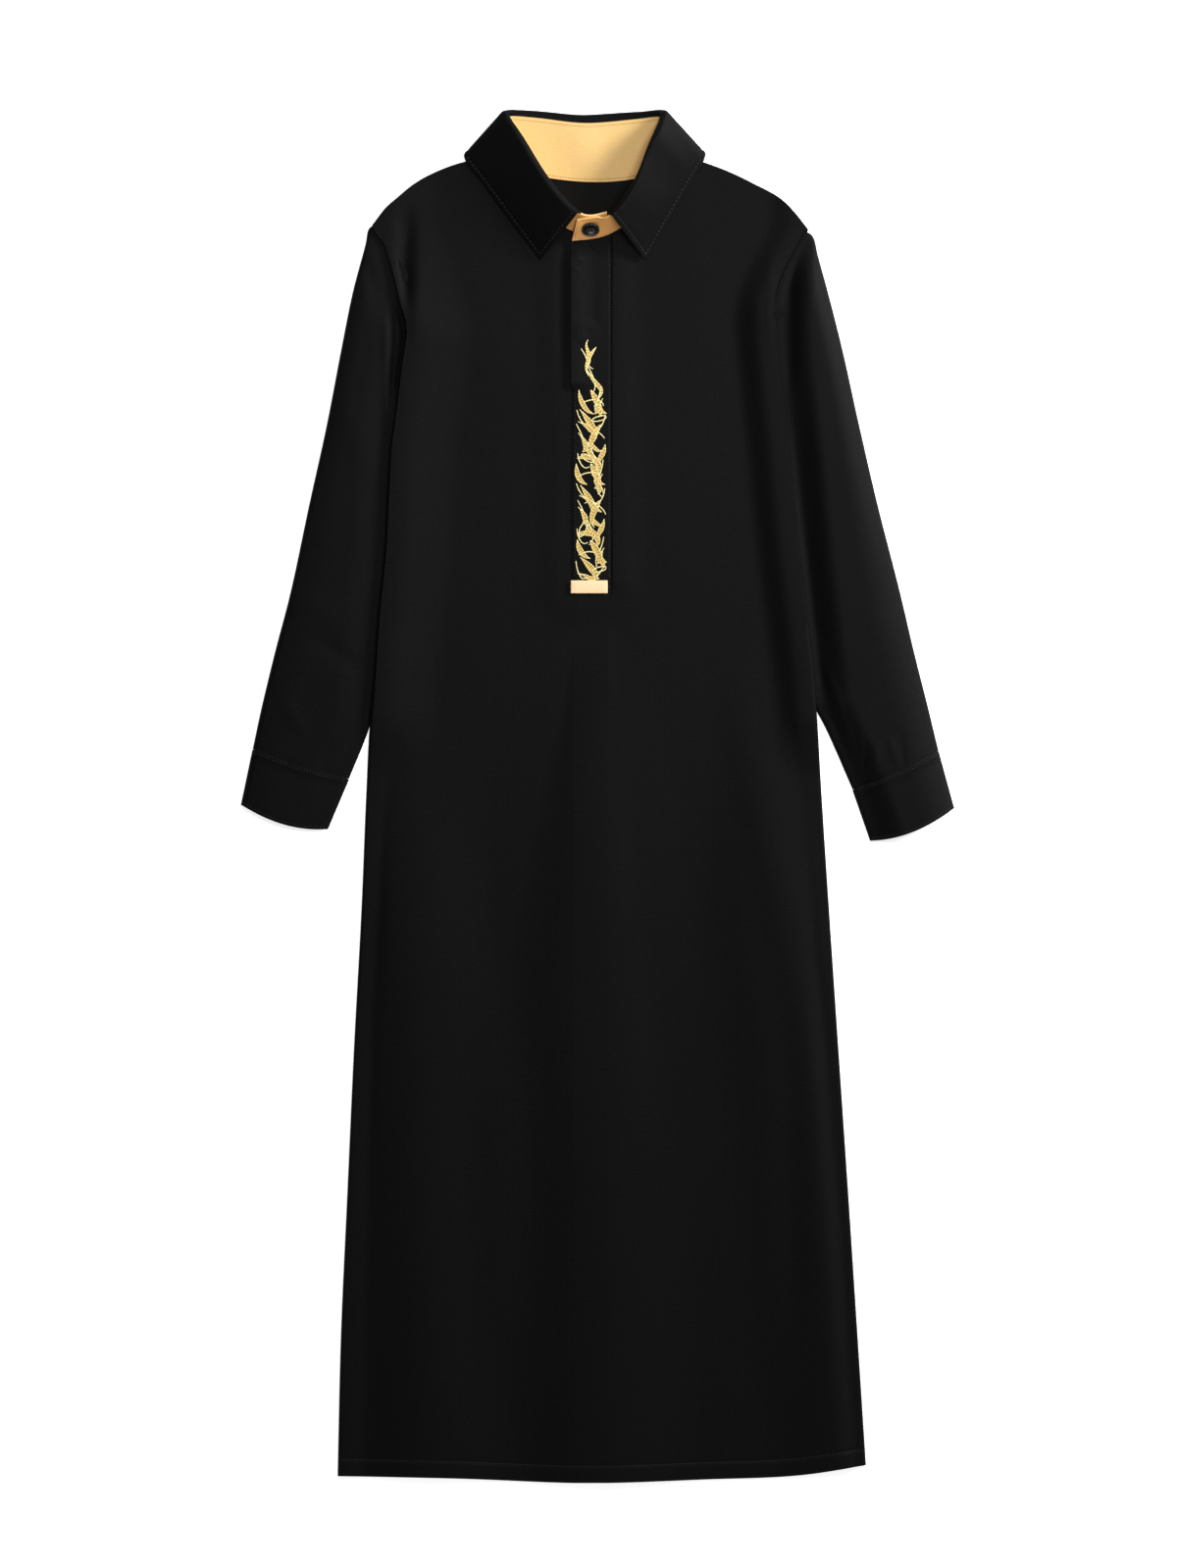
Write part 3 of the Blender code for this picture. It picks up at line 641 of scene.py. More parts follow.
# Each row: outer x, outer y, inner x, inner y, from the armhole to the cuff seam
LEFT_SLEEVE = np.array((
    (-225.0, 595.5, -192.0, 396.0), (-236.8, 590.5, -195.5, 379.0), (-241.0, 572.0, -198.0, 360.0),
    (-254.0, 523.0, -200.5, 325.0), (-266.2, 462.0, -202.5, 285.0), (-281.0, 385.0, -205.5, 240.0),
    (-299.0, 303.0, -210.5, 196.0), (-317.2, 217.0, -214.5, 150.0), (-334.5, 150.0, -227.0, 108.0),
    (-347.8, 95.0, -240.5, 65.0), (-357.5, 50.0, -259.0, 19.4),
))
RIGHT_SLEEVE = np.array((
    (212.5, 589.5, 177.5, 396.0), (223.8, 582.0, 180.0, 379.0), (229.0, 562.0, 182.0, 360.0),
    (239.7, 523.0, 186.0, 325.0), (255.0, 462.0, 190.0, 285.0), (272.0, 385.0, 195.0, 240.0),
    (291.0, 303.0, 201.0, 196.0), (313.0, 217.0, 206.5, 150.0), (328.8, 150.0, 219.5, 108.0),
    (342.7, 95.0, 240.0, 68.0), (354.0, 48.0, 266.2, 8.2),
))
LEFT_CREASES = (
    (-219, 505, -217, 370, 5, 1.6),
    (-204, 520, -211, 400, 9, -4.0),
    (-262, 420, -236, 330, 16, 0.9),
    (-322, 205, -262, 190, 12, 0.7),
    (-300, 170, -240, 128, 10, -0.8),
    (-330, 110, -300, 58, 8, 0.6),
    (-275, 60, -290, 22, 6, -0.7),
    (-240, 560, -232, 520, 7, -0.8),
)
RIGHT_CREASES = (
    (201, 570, 201, 420, 8, -3.0),
    (207, 410, 232, 90, 15, -3.2),
    (226, 520, 232, 330, 14, 1.0),
    (234, 145, 268, 40, 5, 1.1),
    (226, 150, 256, 55, 6, -0.9),
    (300, 200, 270, 120, 16, 0.8),
    (304, 62, 310, 34, 3.5, 0.9),
    (316, 66, 318, 30, 3.0, -0.8),
    (292, 60, 287, 18, 3.5, 0.9),
    (280, 58, 277, 20, 3.0, -0.8),
    (232, 575, 236, 520, 7, -0.7),
)


def bowed(row, bow, share):
    """A point across a cuff row, which bows towards the hand in the middle."""
    x = row[0] + (row[2] - row[0]) * share
    y = row[1] + (row[3] - row[1]) * share
    return x, y - bow * 4 * share * (1 - share)


def sleeve_line(row, start, blend, bow, share):
    """Points across a sleeve row, curved to the armhole at its head and to the cuff at its end."""
    x, y = bowed(row, bow, share)
    start_x = start[0] + (start[2] - start[0]) * share
    start_y = start[1] + (start[3] - start[1]) * share
    left_side = row[0] < 0
    edge = body_edges(start_y)[0 if left_side else 1]
    armhole_x = edge + (SLEEVE_UNDER if left_side else -SLEEVE_UNDER)
    return x + (armhole_x - start_x) * np.minimum(1, 4 * share) * np.minimum(1, 4 * (1 - share)) * blend, y


def from_ends(x, y):
    """How far each point of a line lies from the line's first and last points."""
    return np.hypot(x - x[0], y - y[0]), np.hypot(x - x[-1], y - y[-1])


def arch(from_inner, from_outer):
    """A share from 0 at a sleeve's inner side up to its full height and down to its outer fold."""
    return smooth(2, ARCH_INNER, from_inner) * (1 - (1 - np.minimum(from_outer / ARCH_OUTER, 1)) ** 2)


def sleeve_height(x, y, loft, creases):
    """How far a sleeve's upper layer stands over its lower one: an arch, low under the body."""
    from_outer, from_inner = from_ends(x, y)
    outside = np.minimum(-inside_edge(x, np.minimum(y, SHOULDER_Y)), from_inner)
    free = loft * arch(outside, from_outer) + press_creases(x, y, creases) * smooth(1, 9, outside)
    return SLEEVE_FLAT + np.maximum(free, -3.0)


def tube_shares(count):
    """Shares across a flattened tube, closer together at its folds."""
    even = np.linspace(0.0, 1.0, count + 1)
    return 0.4 * even + 0.6 * (0.5 - 0.5 * np.cos(math.pi * even))


def fold_round(x, y, reach):
    """The roundness of a fold: 0 at a line's ends and 1 from this far inside them."""
    from_fold = np.minimum(*from_ends(x, y))
    return np.sqrt(1 - (1 - np.clip(from_fold / reach, 0, 1)) ** 2)


def tube_row(line, height_of, thick, fold_reach):
    """One ring of a flattened tube whose upper and lower layers follow the same line."""
    x, y = line(tube_shares(SLEEVE_UPPER))
    low_x, low_y = line(tube_shares(SLEEVE_LOWER))
    height = height_of(x, y)
    middle = thick / 2 + height / 2
    upper = np.stack([x, y, middle + height / 2 * fold_round(x, y, fold_reach)], axis=1)
    end_height = np.where(np.arange(len(low_x)) < len(low_x) / 2, height[0], height[-1])
    lower_z = thick / 2 + end_height / 2 * (1 - fold_round(low_x, low_y, fold_reach))
    lower = np.stack([low_x, low_y, lower_z], axis=1)
    return np.concatenate([upper, lower[::-1][1:-1], upper[:1]])


def sleeve_rows(table, loft, creases):
    """The rings of a sleeve from the cuff seam up to the armhole."""
    knots = np.arange(len(table), dtype=float)
    rings = []
    for at in np.linspace(len(table) - 1, 0, SLEEVE_ROWS + 1):
        row = [float(curve_at(knots, table[:, k], at)) for k in range(4)]
        blend = max(0.0, 1 - at / 4) ** 2
        bow = CUFF_SEAM_BOW * max(0.0, (at - len(table) + 2)) ** 2
        rings.append(tube_row(
            lambda s: sleeve_line(row, table[0], blend, bow, s),
            lambda x, y: sleeve_height(x, y, loft, creases), CLOTH, SLEEVE_FOLD_REACH,
        ))
    return np.array(rings)


# ---------------------------------------------------------------- cuffs
# A cuff is a straight band of the same suiting, folded double and sewn round the end of its
# sleeve with two rows of stitches, and closed all round.
CUFF = 1.6
CUFF_ROWS = 22
CUFF_OPENING_BOW = 8.0
CUFF_OVERLAP = 2.6
CUFF_FOLD_REACH = 6.0
LEFT_CUFF = np.array((-369.6, -8.0, -281.0, -33.0))
RIGHT_CUFF = np.array((370.2, -11.5, 284.5, -45.0))
SEAM_STITCHES = (2.2, 4.6)


def cuff_rows(seam, opening, loft):
    """The rings of a cuff from its open edge up to the sleeve."""
    gap = SEAM + (CUFF - CLOTH) / 2
    rings = []
    for t in np.linspace(1.0, 0.0, CUFF_ROWS + 1):
        row = seam + (opening - seam) * t
        bow = CUFF_SEAM_BOW + (CUFF_OPENING_BOW - CUFF_SEAM_BOW) * t
        full = 0.5 * math.sin(math.pi * t) ** 0.5 if 0 < t < 1 else 0.0

        def line(share, row=row, bow=bow, t=t):
            x, y = bowed(row, bow, share)
            return x, y - gap * (1 - t)

        def height(x, y, full=full):
            from_outer, from_inner = from_ends(x, y)
            return SLEEVE_FLAT + full + loft * arch(from_inner, from_outer)

        ring = tube_row(line, height, CUFF, CUFF_FOLD_REACH)
        over = ring[:SLEEVE_UPPER + 1]
        from_fold = np.minimum(*from_ends(over[:, 0], over[:, 1]))
        overlap = smooth(0, 6, from_fold) * (1 - smooth(0, 0.16, t))
        over[:, 1] += CUFF_OVERLAP * overlap
        over[:, 2] += (CLOTH + CUFF) / 2 * overlap
        ring[-1] = ring[0]
        rings.append(ring)
    return np.array(rings)


for side, table, loft, creases, opening in (
    ("left", LEFT_SLEEVE, LEFT_LOFT, LEFT_CREASES, LEFT_CUFF),
    ("right", RIGHT_SLEEVE, RIGHT_LOFT, RIGHT_CREASES, RIGHT_CUFF),
):
    rings = sleeve_rows(table, loft, creases)
    sleeve_points = rings if side == "left" else rings[:, ::-1]
    sleeve = lay_cloth(f"sleeve_{side}_tube", sleeve_points, CLOTH, suiting, tube=True)
    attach(sleeve, "root")
    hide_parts(f"sleeve_{side}")
    cuff_rings = cuff_rows(table[-1], opening, loft)
    if side == "right":
        cuff_rings = cuff_rings[:, ::-1]
    cuff = lay_cloth(f"cuff_{side}_band", cuff_rings, CUFF, suiting, tube=True)
    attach(cuff, "root")
    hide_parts(f"cuff_{side}")
    upper = cuff_rings[:, :SLEEVE_UPPER + 1] if side == "left" else cuff_rings[:, -SLEEVE_UPPER - 1:]
    rows_of_stitches = [line_inside(upper, "head", inset, 0.04, 0.96) for inset in SEAM_STITCHES]
    rows_of_stitches.append(line_inside(upper, "foot", 3.0, 0.04, 0.96))
    stitches = sew(f"cuff_{side}_stitches", rows_of_stitches, 2.4, 0.8, 0.5, CUFF / 2 + 0.05, black_thread)
    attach(stitches, "root")

# ---------------------------------------------------------------- placket
# Two folded strips fill the slit. The under strip carries the buttons. The upper one closes over
# it, free along its left edge above and stitched down below, and takes the embroidery.
PLACKET_LEFT = -27.5
PLACKET_RIGHT = 13.6
PLACKET_FOOT = 213.0
PLACKET_TOP = 584.0
UNDER_LEFT = -33.5
PLACKET_LAYER = FRONT_LAYER + 2 * LAYER
FREE_EDGE_FOOT = 424.0
FREE_EDGE_TOP = 578.0
FREE_EDGE_RISE = 4.0
FREE_EDGE_REACH = 26.0
HIDDEN_BUTTON = (-10.7, 482.9)
HIDDEN_BUTTON_RADIUS = 5.75
PLACKET_CREASES = (
    (-26, 566, -14, 556, 2.2, 0.7),
    (-27, 551, -16, 545, 2.0, 0.5),
    (-8, 576, 6, 568, 2.4, 0.6),
    (-20, 530, -18, 500, 5, 0.25),
    (4, 540, 6, 480, 5, 0.3),
)


def placket_height(x, y):
    """The middle of the upper strip: full over the hidden button, pressed at its stitched edges."""
    from_button = np.hypot(x - HIDDEN_BUTTON[0], y - HIDDEN_BUTTON[1])
    over = 1.1 * (1 - smooth(HIDDEN_BUTTON_RADIUS + 2, 17, from_button))
    rim = 0.3 * np.exp(-(((from_button - HIDDEN_BUTTON_RADIUS) / 0.8) ** 2))
    free = smooth(FREE_EDGE_FOOT - 4, FREE_EDGE_FOOT + 8, y)
    from_left = x - placket_left(y)
    curl = FREE_EDGE_RISE * free * (1 - smooth(0, FREE_EDGE_REACH, from_left))
    curl *= 1 - smooth(FREE_EDGE_TOP - 22, FREE_EDGE_TOP, y)
    pressed = -0.7 * (1 - free) * (1 - smooth(0, 3.5, from_left))
    seam = -0.3 * (1 - smooth(0, 1.0, PLACKET_RIGHT - x))
    return PLACKET_LAYER + over + rim + curl + pressed + seam + press_creases(x, y, PLACKET_CREASES)


def placket_left(y):
    """The upper strip's left edge, which steps in where its stitching starts."""
    return PLACKET_LEFT + 2.0 * (1 - smooth(FREE_EDGE_FOOT - 4, FREE_EDGE_FOOT + 4, y))


def strip_rows(left, right, foot, top, height, columns, lines):
    """The rows of a strip of cloth that lies along the middle of the front."""
    rows = []
    for y in np.linspace(foot, top, lines + 1):
        x = np.linspace(left(y), right, columns + 1)
        y = np.full_like(x, y)
        rows.append(np.stack([x, y, height(x, y)], axis=1))
    return np.array(rows)


under_rows = strip_rows(lambda y: UNDER_LEFT, PLACKET_RIGHT, PLACKET_FOOT, PLACKET_TOP,
                        lambda x, y: np.full_like(x, FRONT_LAYER), 12, 80)
under_strip = lay_cloth("placket_under_strip", under_rows, CLOTH, suiting)
upper_rows = strip_rows(placket_left, PLACKET_RIGHT, PLACKET_FOOT + 1, PLACKET_TOP,
                        placket_height, 42, 250)
upper_strip = lay_cloth("placket_upper_strip", upper_rows, CLOTH, suiting)
free_share = (FREE_EDGE_FOOT - PLACKET_FOOT) / (PLACKET_TOP - PLACKET_FOOT)
placket_lines = [
    line_inside(upper_rows, "left", 2.2, 0.04, free_share),
    line_inside(upper_rows, "right", 1.6, 0.04, 0.98),
]
placket_stitches = sew("placket_stitches", placket_lines, 2.4, 1.0, 0.5, CLOTH / 2, black_thread)
for piece, node in ((under_strip, "placket_under"), (upper_strip, "placket_top")):
    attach(piece, "root")
    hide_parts(node)
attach(placket_stitches, "root")

# ---------------------------------------------------------------- embroidery
# A machine-stitched band of crossing blades, tendrils and loops climbs the upper strip. Each
# shape is filled with old-gold satin stitch and edged with a raised cream cord.
BAND_X = -6.3
BAND_HALF = 17.4
BAND_FOOT = 229.0
TIERS = 12
TIER_STEP = 19.6
CORD_WIDTH = 0.75
BLADE_FULLNESS = 1.12
STROKE_STEPS = 18

# Each blade of a tier: dx, dy, heading in degrees, length, bend and hook in degrees, width, and
# how late it is widest
BLADES = (
    (
        (-13, 19, -48, 36, -16, -40, 6.2, 1.2), (4, 21, -30, 17, -60, -50, 4.6, 0.7),
        (-14, 5, -14, 27, -50, 40, 4.4, 1.5),
    ),
    (
        (-16, 20, -84, 30, 52, 20, 5.2, 1.0), (-2, 18, -56, 31, -14, 70, 6.4, 0.8),
        (13, 9, -124, 20, 40, -50, 3.8, 1.6),
    ),
    (
        (-10, 22, -62, 38, 26, -84, 5.8, 1.4), (-16, 6, 22, 28, -62, -20, 4.6, 0.9),
        (14, 20, -98, 24, -34, 50, 4.8, 1.1),
    ),
    (
        (10, 22, -128, 34, 44, 30, 5.6, 0.8), (-15, 14, -38, 22, -44, -60, 5.0, 1.7),
        (0, 4, -64, 18, 50, 40, 3.6, 1.0),
    ),
)
TENDRILS = (
    ((-17, 17, -70, 36, 30, 30), (15, 12, -104, 26, -40, -60)),
    ((12, 23, -100, 34, -26, 50), (-14, 4, 34, 30, -70, -40)),
    ((-4, 24, -60, 38, -30, -50), (-15, 11, -86, 22, 50, 70)),
    ((-16, 22, -56, 30, -40, 60), (14, 6, 118, 26, 50, 40)),
)
LOOPS = ((8.5, 8, 8, 2.4, 14), (-9, 10, 3.2, 8, -24), (9, 12, 2.6, 7.4, 22), (-4, 6, 7.4, 2.8, -30))


def stroke_path(start, heading, length, bend, hook):
    """A line that turns as it runs, and turns on at its end."""
    points = [start]
    for i in range(STROKE_STEPS):
        t = (i + 0.5) / STROKE_STEPS
        angle = math.radians(heading + bend * t + hook * float(smooth(0.6, 1.0, t)))
        x, y = points[-1]
        step = length / STROKE_STEPS
        points.append((x + math.cos(angle) * step, y + math.sin(angle) * step))
    return np.array(points)


def keep_in_band(points):
    """Turns a line back before it leaves the band."""
    points = points.copy()
    aside = (points[:, 0] - BAND_X) / BAND_HALF
    eased = np.sign(aside) * (0.6 + 0.4 * np.tanh((np.abs(aside) - 0.6) / 0.4))
    points[:, 0] = BAND_X + BAND_HALF * np.where(np.abs(aside) < 0.6, aside, eased)
    points[:, 1] = np.maximum(points[:, 1], BAND_FOOT - 1.5)
    return points


satin_strokes = {"verts": [], "faces": [], "finish": [], "uv": []}


def lay_stroke(path, widths, layer):
    """Adds a raised ribbon of satin stitch, with a cord along both its edges."""
    run = np.gradient(path, axis=0)
    run /= np.maximum(np.linalg.norm(run, axis=1, keepdims=True), 1e-9)
    side = np.stack([-run[:, 1], run[:, 0]], axis=1)
    half = widths / 2
    cord = np.minimum(CORD_WIDTH, half * 0.8)
    offsets = np.stack([-half, -half + cord * 0.3, -half + cord * 0.85, 0 * half,
                        half - cord * 0.85, half - cord * 0.3, half], axis=1)
    rises = np.array((0.0, 0.55, 0.3, 0.62, 0.3, 0.55, 0.0))
    start = len(satin_strokes["verts"])
    along = np.concatenate([[0.0], np.cumsum(np.linalg.norm(np.diff(path, axis=0), axis=1))])
    for i, point in enumerate(path):
        for k, rise in enumerate(rises):
            x, y = point + side[i] * offsets[i, k]
            ground = float(placket_height(np.array([x]), np.array([y]))[0]) + CLOTH / 2
            satin_strokes["verts"].append((x * MM, y * MM, (ground + rise + layer) * MM))
            satin_strokes["uv"].append((along[i] * MM, offsets[i, k] * MM))
    wide = len(rises)
    for i in range(len(path) - 1):
        for k in range(wide - 1):
            a = start + i * wide + k
            satin_strokes["faces"].append((a, a + 1, a + wide + 1, a + wide))
            satin_strokes["finish"].append(1 if k in (2, 3) and half[i] > 0.9 else 0)


draw = random.Random(23)
shares = np.linspace(0, 1, STROKE_STEPS + 1)
pulls = []
for tier in range(TIERS):
    foot = BAND_FOOT + tier * TIER_STEP
    thin = 1.0 - 0.42 * float(smooth(TIERS - 4, TIERS - 1, tier))
    lean = draw.uniform(-8, 8)
    few = tier >= TIERS - 2
    for dx, dy, heading, length, bend, hook, width, late in BLADES[tier % 4][:1 if few else 3]:
        place = (BAND_X + dx * thin + draw.uniform(-1.5, 1.5), foot + dy + draw.uniform(-2, 2))
        path = stroke_path(place, heading + lean, length * draw.uniform(0.85, 1.1), bend, hook)
        widths = np.maximum(BLADE_FULLNESS * width * thin * np.sin(math.pi * shares**late) ** 0.85, 0.9)
        pulls.append((keep_in_band(path), widths))
    for dx, dy, heading, length, bend, hook in TENDRILS[tier % 4][:1 if few else 3]:
        place = (BAND_X + dx * thin + draw.uniform(-2, 2), foot + dy + draw.uniform(-2, 2))
        path = stroke_path(place, heading - lean, length * draw.uniform(0.8, 1.1), bend, hook)
        pulls.append((keep_in_band(path), 0.9 + 0.4 * np.sin(math.pi * shares)))
    if tier % 2 == 0 and not few:
        dx, dy, half_long, half_wide, tilt = LOOPS[tier // 2 % 4]
        around = shares * 2 * math.pi
        tilt = math.radians(tilt)
        oval = np.stack([half_long * np.cos(around), half_wide * np.sin(around)], axis=1)
        turned_oval = oval @ np.array(((math.cos(tilt), math.sin(tilt)), (-math.sin(tilt), math.cos(tilt))))
        pulls.append((keep_in_band(turned_oval + (BAND_X + dx, foot + dy)), np.full(len(shares), 1.2)))
wisp = stroke_path((-9, BAND_FOOT + TIERS * TIER_STEP - 14), 84, 26, 40, -60)
pulls.append((wisp, np.maximum(4.0 * np.sin(math.pi * shares**0.6) ** 0.8, 0.9)))
draw.shuffle(pulls)
for i, (path, widths) in enumerate(pulls):
    lay_stroke(path, widths, 0.35 * (i % 9) / 9)


def satin_stitch(name, colour, dark):
    """Rayon floss laid side by side across a shape: bright, with fine shadowed lines between."""
    material, shader = new_finish(
        name, {"Roughness": 0.42, "Specular IOR Level": 0.4, "Sheen Weight": 0.15}
    )
    threads = add_node(material, "ShaderNodeUVMap").outputs["UV"]
    floss = add_node(
        material, "ShaderNodeTexWave", {"Scale": 105.0, "Distortion": 1.0, "Detail": 1.0},
        {"Vector": threads},
    )
    tint = add_node(
        material, "ShaderNodeMix", {"data_type": "RGBA", 6: linear(dark), 7: linear(colour)},
        {0: floss.outputs["Fac"]},
    )
    material.node_tree.links.new(tint.outputs[2], shader.inputs["Base Color"])
    add_relief(material, shader, floss.outputs["Fac"], 0.5, 0.0002)
    return material


cream_cord = satin_stitch("cream_rayon_cord", "#fbf2bc", "#e8d592")
old_gold = satin_stitch("old_gold_satin_stitch", "#dcbe6a", "#ad8c40")
embroidery_mesh = bpy.data.meshes.new("placket_embroidery")
embroidery_mesh.from_pydata(satin_strokes["verts"], [], satin_strokes["faces"])
embroidery_mesh.materials.append(cream_cord)
embroidery_mesh.materials.append(old_gold)
embroidery_mesh.polygons.foreach_set("material_index", satin_strokes["finish"])
floss_lie = embroidery_mesh.uv_layers.new(name="UVMap")
stroke_corner = np.empty(len(embroidery_mesh.loops), int)
embroidery_mesh.loops.foreach_get("vertex_index", stroke_corner)
floss_lie.data.foreach_set("uv", np.array(satin_strokes["uv"])[stroke_corner].ravel())
embroidery_mesh.shade_smooth()
embroidery = bpy.data.objects.new("placket_embroidery", embroidery_mesh)
bpy.context.scene.collection.objects.link(embroidery)
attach(embroidery, "root")

# ---------------------------------------------------------------- placket bar
# A short band of pale gold satin, its edges turned in, is sewn across the placket's foot with a
# row of cream stitches along each long edge.
BAR_FOOT = 212.2
BAR_TOP = 225.4
BAR_RIGHT = SLIT_RIGHT + 0.4
BAR_THICK = 1.0
BAR_STITCH = 2.2

# Pale gold satin: smooth and bright, with hardly any grain.
pale_satin = woven_finish(
    "pale_gold_satin",
    {"Roughness": 0.4, "Specular IOR Level": 0.4, "Sheen Weight": 0.1},
    "#eecb9e", "#fae0b8", 0.8, 1.4, 0.12,
)


def bar_height(x, y):
    """The middle of the band, which is full inside its edges and drawn in at its stitches."""
    edge = np.minimum(np.minimum(x - PLACKET_LEFT, BAR_RIGHT - x), np.minimum(y - BAR_FOOT, BAR_TOP - y))
    drawn_in = 0.2 * np.exp(-(((edge - BAR_STITCH) / 0.6) ** 2))
    return PLACKET_LAYER + CLOTH / 2 + SEAM + BAR_THICK / 2 + 0.5 * smooth(0, 1.6, edge) - drawn_in


bar_rows = strip_rows(lambda y: PLACKET_LEFT, BAR_RIGHT, BAR_FOOT, BAR_TOP, bar_height, 60, 24)
bar = lay_cloth("placket_gold_bar", bar_rows, BAR_THICK, pale_satin)
# Plain sewing threads: cream on the band, and a brown gold that reads as dots on the stand.
cream_thread, _ = new_finish("cream_polyester_thread", {"Base Color": linear("#f2dcae"), "Roughness": 0.5})
gold_thread, _ = new_finish("gold_polyester_thread", {"Base Color": linear("#8a5c2c"), "Roughness": 0.5})
bar_lines = [line_inside(bar_rows, s, BAR_STITCH, 0.08, 0.92) for s in ("foot", "head")]
bar_stitches = sew("bar_stitches", bar_lines, 1.8, 0.7, 0.45, BAR_THICK / 2, cream_thread)
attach(bar, "root")
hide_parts("placket_bar")
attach(bar_stitches, "root")

# ---------------------------------------------------------------- collar stand
# The stand is a stiff band of gold satin, interlined and topstitched at both edges. It is sewn
# to the neckline, stands up at the front and lies back behind, and its tab buttons across.
STAND = 2.0
STAND_STEPS = 10
STAND_ROWS = 14
TAB_STITCH = 2.0
TAB_BACK_Y = 612.0

# Stations round the neck: the stand's seam, its top edge, and the leaf's outer edge, as x y z
COLLAR = np.array((
    (10, 588, 6.9, 10, 607.4, 31.0, 0, 0, 0),
    (-22, 588, 6.9, -17.0, 606.0, 32.5, -59.2, 558.5, 6.6),
    (-68, 615, 5.6, -50.0, 638.5, 32.0, -85.1, 593.4, 6.0),
    (-101, 646, 5.0, -77.5, 681.4, 29.5, -117.6, 637.4, 5.6),
    (-110, 661, 4.9, -92.0, 703.5, 26.0, -137.4, 664.0, 5.0),
    (-107, 663, 4.2, -88.5, 707.6, 22.0, -127.0, 671.0, 1.2),
    (-65, 647, 3.0, -61.2, 705.8, 17.0, -75.5, 663.0, 0.9),
    (-6, 640, 3.0, -12.2, 700.7, 15.0, -12.2, 656.0, 0.9),
    (47, 645, 3.0, 36.7, 704.3, 17.0, 52.0, 662.0, 0.9),
    (95, 663, 4.2, 62.7, 706.9, 22.0, 104.0, 671.0, 1.2),
    (99, 661, 4.9, 66.8, 703.0, 26.0, 110.8, 664.0, 5.0),
    (90, 645, 5.0, 57.4, 680.3, 29.5, 95.7, 637.6, 5.6),
    (60, 615, 5.6, 40.0, 638.5, 32.0, 70.2, 593.4, 6.0),
    (20.4, 590.6, 8.6, 12.9, 604.4, 33.0, 50.0, 558.5, 6.6),
    (1.0, 582.4, 9.0, -2.0, 602.6, 32.4, 0, 0, 0),
    (-26.5, 579.0, 9.4, -21.0, 599.8, 30.5, 0, 0, 0),
), float)
LEAF_FIRST = 1
LEAF_LAST = 13


def curve_through(values, steps):
    """Points on a smooth curve through a list of points, with steps to each span."""
    points = []
    last = len(values) - 1
    for i in range(last):
        a, b = values[max(i - 1, 0)], values[i]
        c, d = values[i + 1], values[min(i + 2, last)]
        for k in range(steps):
            t = k / steps
            points.append((2 * b + (c - a) * t + (2 * a - 5 * b + 4 * c - d) * t**2
                           + (3 * b - a - 3 * c + d) * t**3) / 2)
    return np.array(points + [values[-1]])


stand_seam = curve_through(COLLAR[:, 0:3], STAND_STEPS)
stand_top = curve_through(COLLAR[:, 3:6], STAND_STEPS)
stand_rows = np.array([stand_seam + (stand_top - stand_seam) * t
                       for t in np.linspace(0, 1, STAND_ROWS + 1)])
stand_steps = np.linalg.norm(np.diff(stand_top, axis=0), axis=1)
round_neck = np.concatenate([[0.0], np.cumsum(stand_steps)])
ripple = 0.35 * np.sin(round_neck / 17) + 0.2 * np.sin(round_neck / 7.3 + 1)
up_stand = np.sin(math.pi * np.linspace(0, 1, STAND_ROWS + 1))
stand_rows += grid_normals(stand_rows) * ripple[None, :, None] * up_stand[:, None, None]

# Yellow-gold satin twill on a stiff interlining: even and softly bright, with a faint grain.
gold_satin = woven_finish(
    "gold_satin_twill",
    {"Roughness": 0.5, "Specular IOR Level": 0.35, "Sheen Weight": 0.12, "Sheen Roughness": 0.4,
     "Sheen Tint": linear("#fff0d0")},
    "#e4bd7c", "#f5d79a", 0.8, 2.0, 0.14,
)
# The same satin in a warmer, slightly darker tint, nearer to copper: painted shade for the stand's outer
# faces that turn towards the hem.
gold_satin_painted_shade_copy = woven_finish(
    "gold_satin_with_painted_shade",
    {"Roughness": 0.45, "Specular IOR Level": 0.35, "Sheen Weight": 0.12, "Sheen Roughness": 0.4,
     "Sheen Tint": linear("#ffd9a0")},
    "#f6b064", "#ffcc88", 0.8, 2.0, 0.14,
)
stand = lay_cloth("collar_stand_band", stand_rows, STAND, gold_satin)
# The stand's front faces that turn towards the hem take the copy of the satin with painted shade.
stand.data.materials.append(gold_satin_painted_shade_copy)
for face in stand.data.polygons:
    if face.normal.y < -0.3 and face.normal.z > 0 and face.center.y < TAB_BACK_Y * MM:
        face.material_index = 1
back_span = (4 / 15, 11 / 15)
tab_span = (13.3 / 15, 0.985)
inner_lines = [
    line_inside(stand_rows, "head", 3.6, *back_span),
    line_inside(stand_rows, "foot", 3.0, *back_span),
]
tab_lines = []
for edge in ("head", "foot"):
    line, up = line_inside(stand_rows, edge, TAB_STITCH, *tab_span)
    tab_lines.append((line, -up))
line, up = line_inside(stand_rows, "right", TAB_STITCH, 0.1, 0.9)
tab_lines.append((line, -up))
stand_stitches = sew("stand_stitches", inner_lines + tab_lines, 1.9, 0.9, 0.7, STAND / 2, gold_thread)
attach(stand, "root")
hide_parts("collar_stand")
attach(stand_stitches, "root")

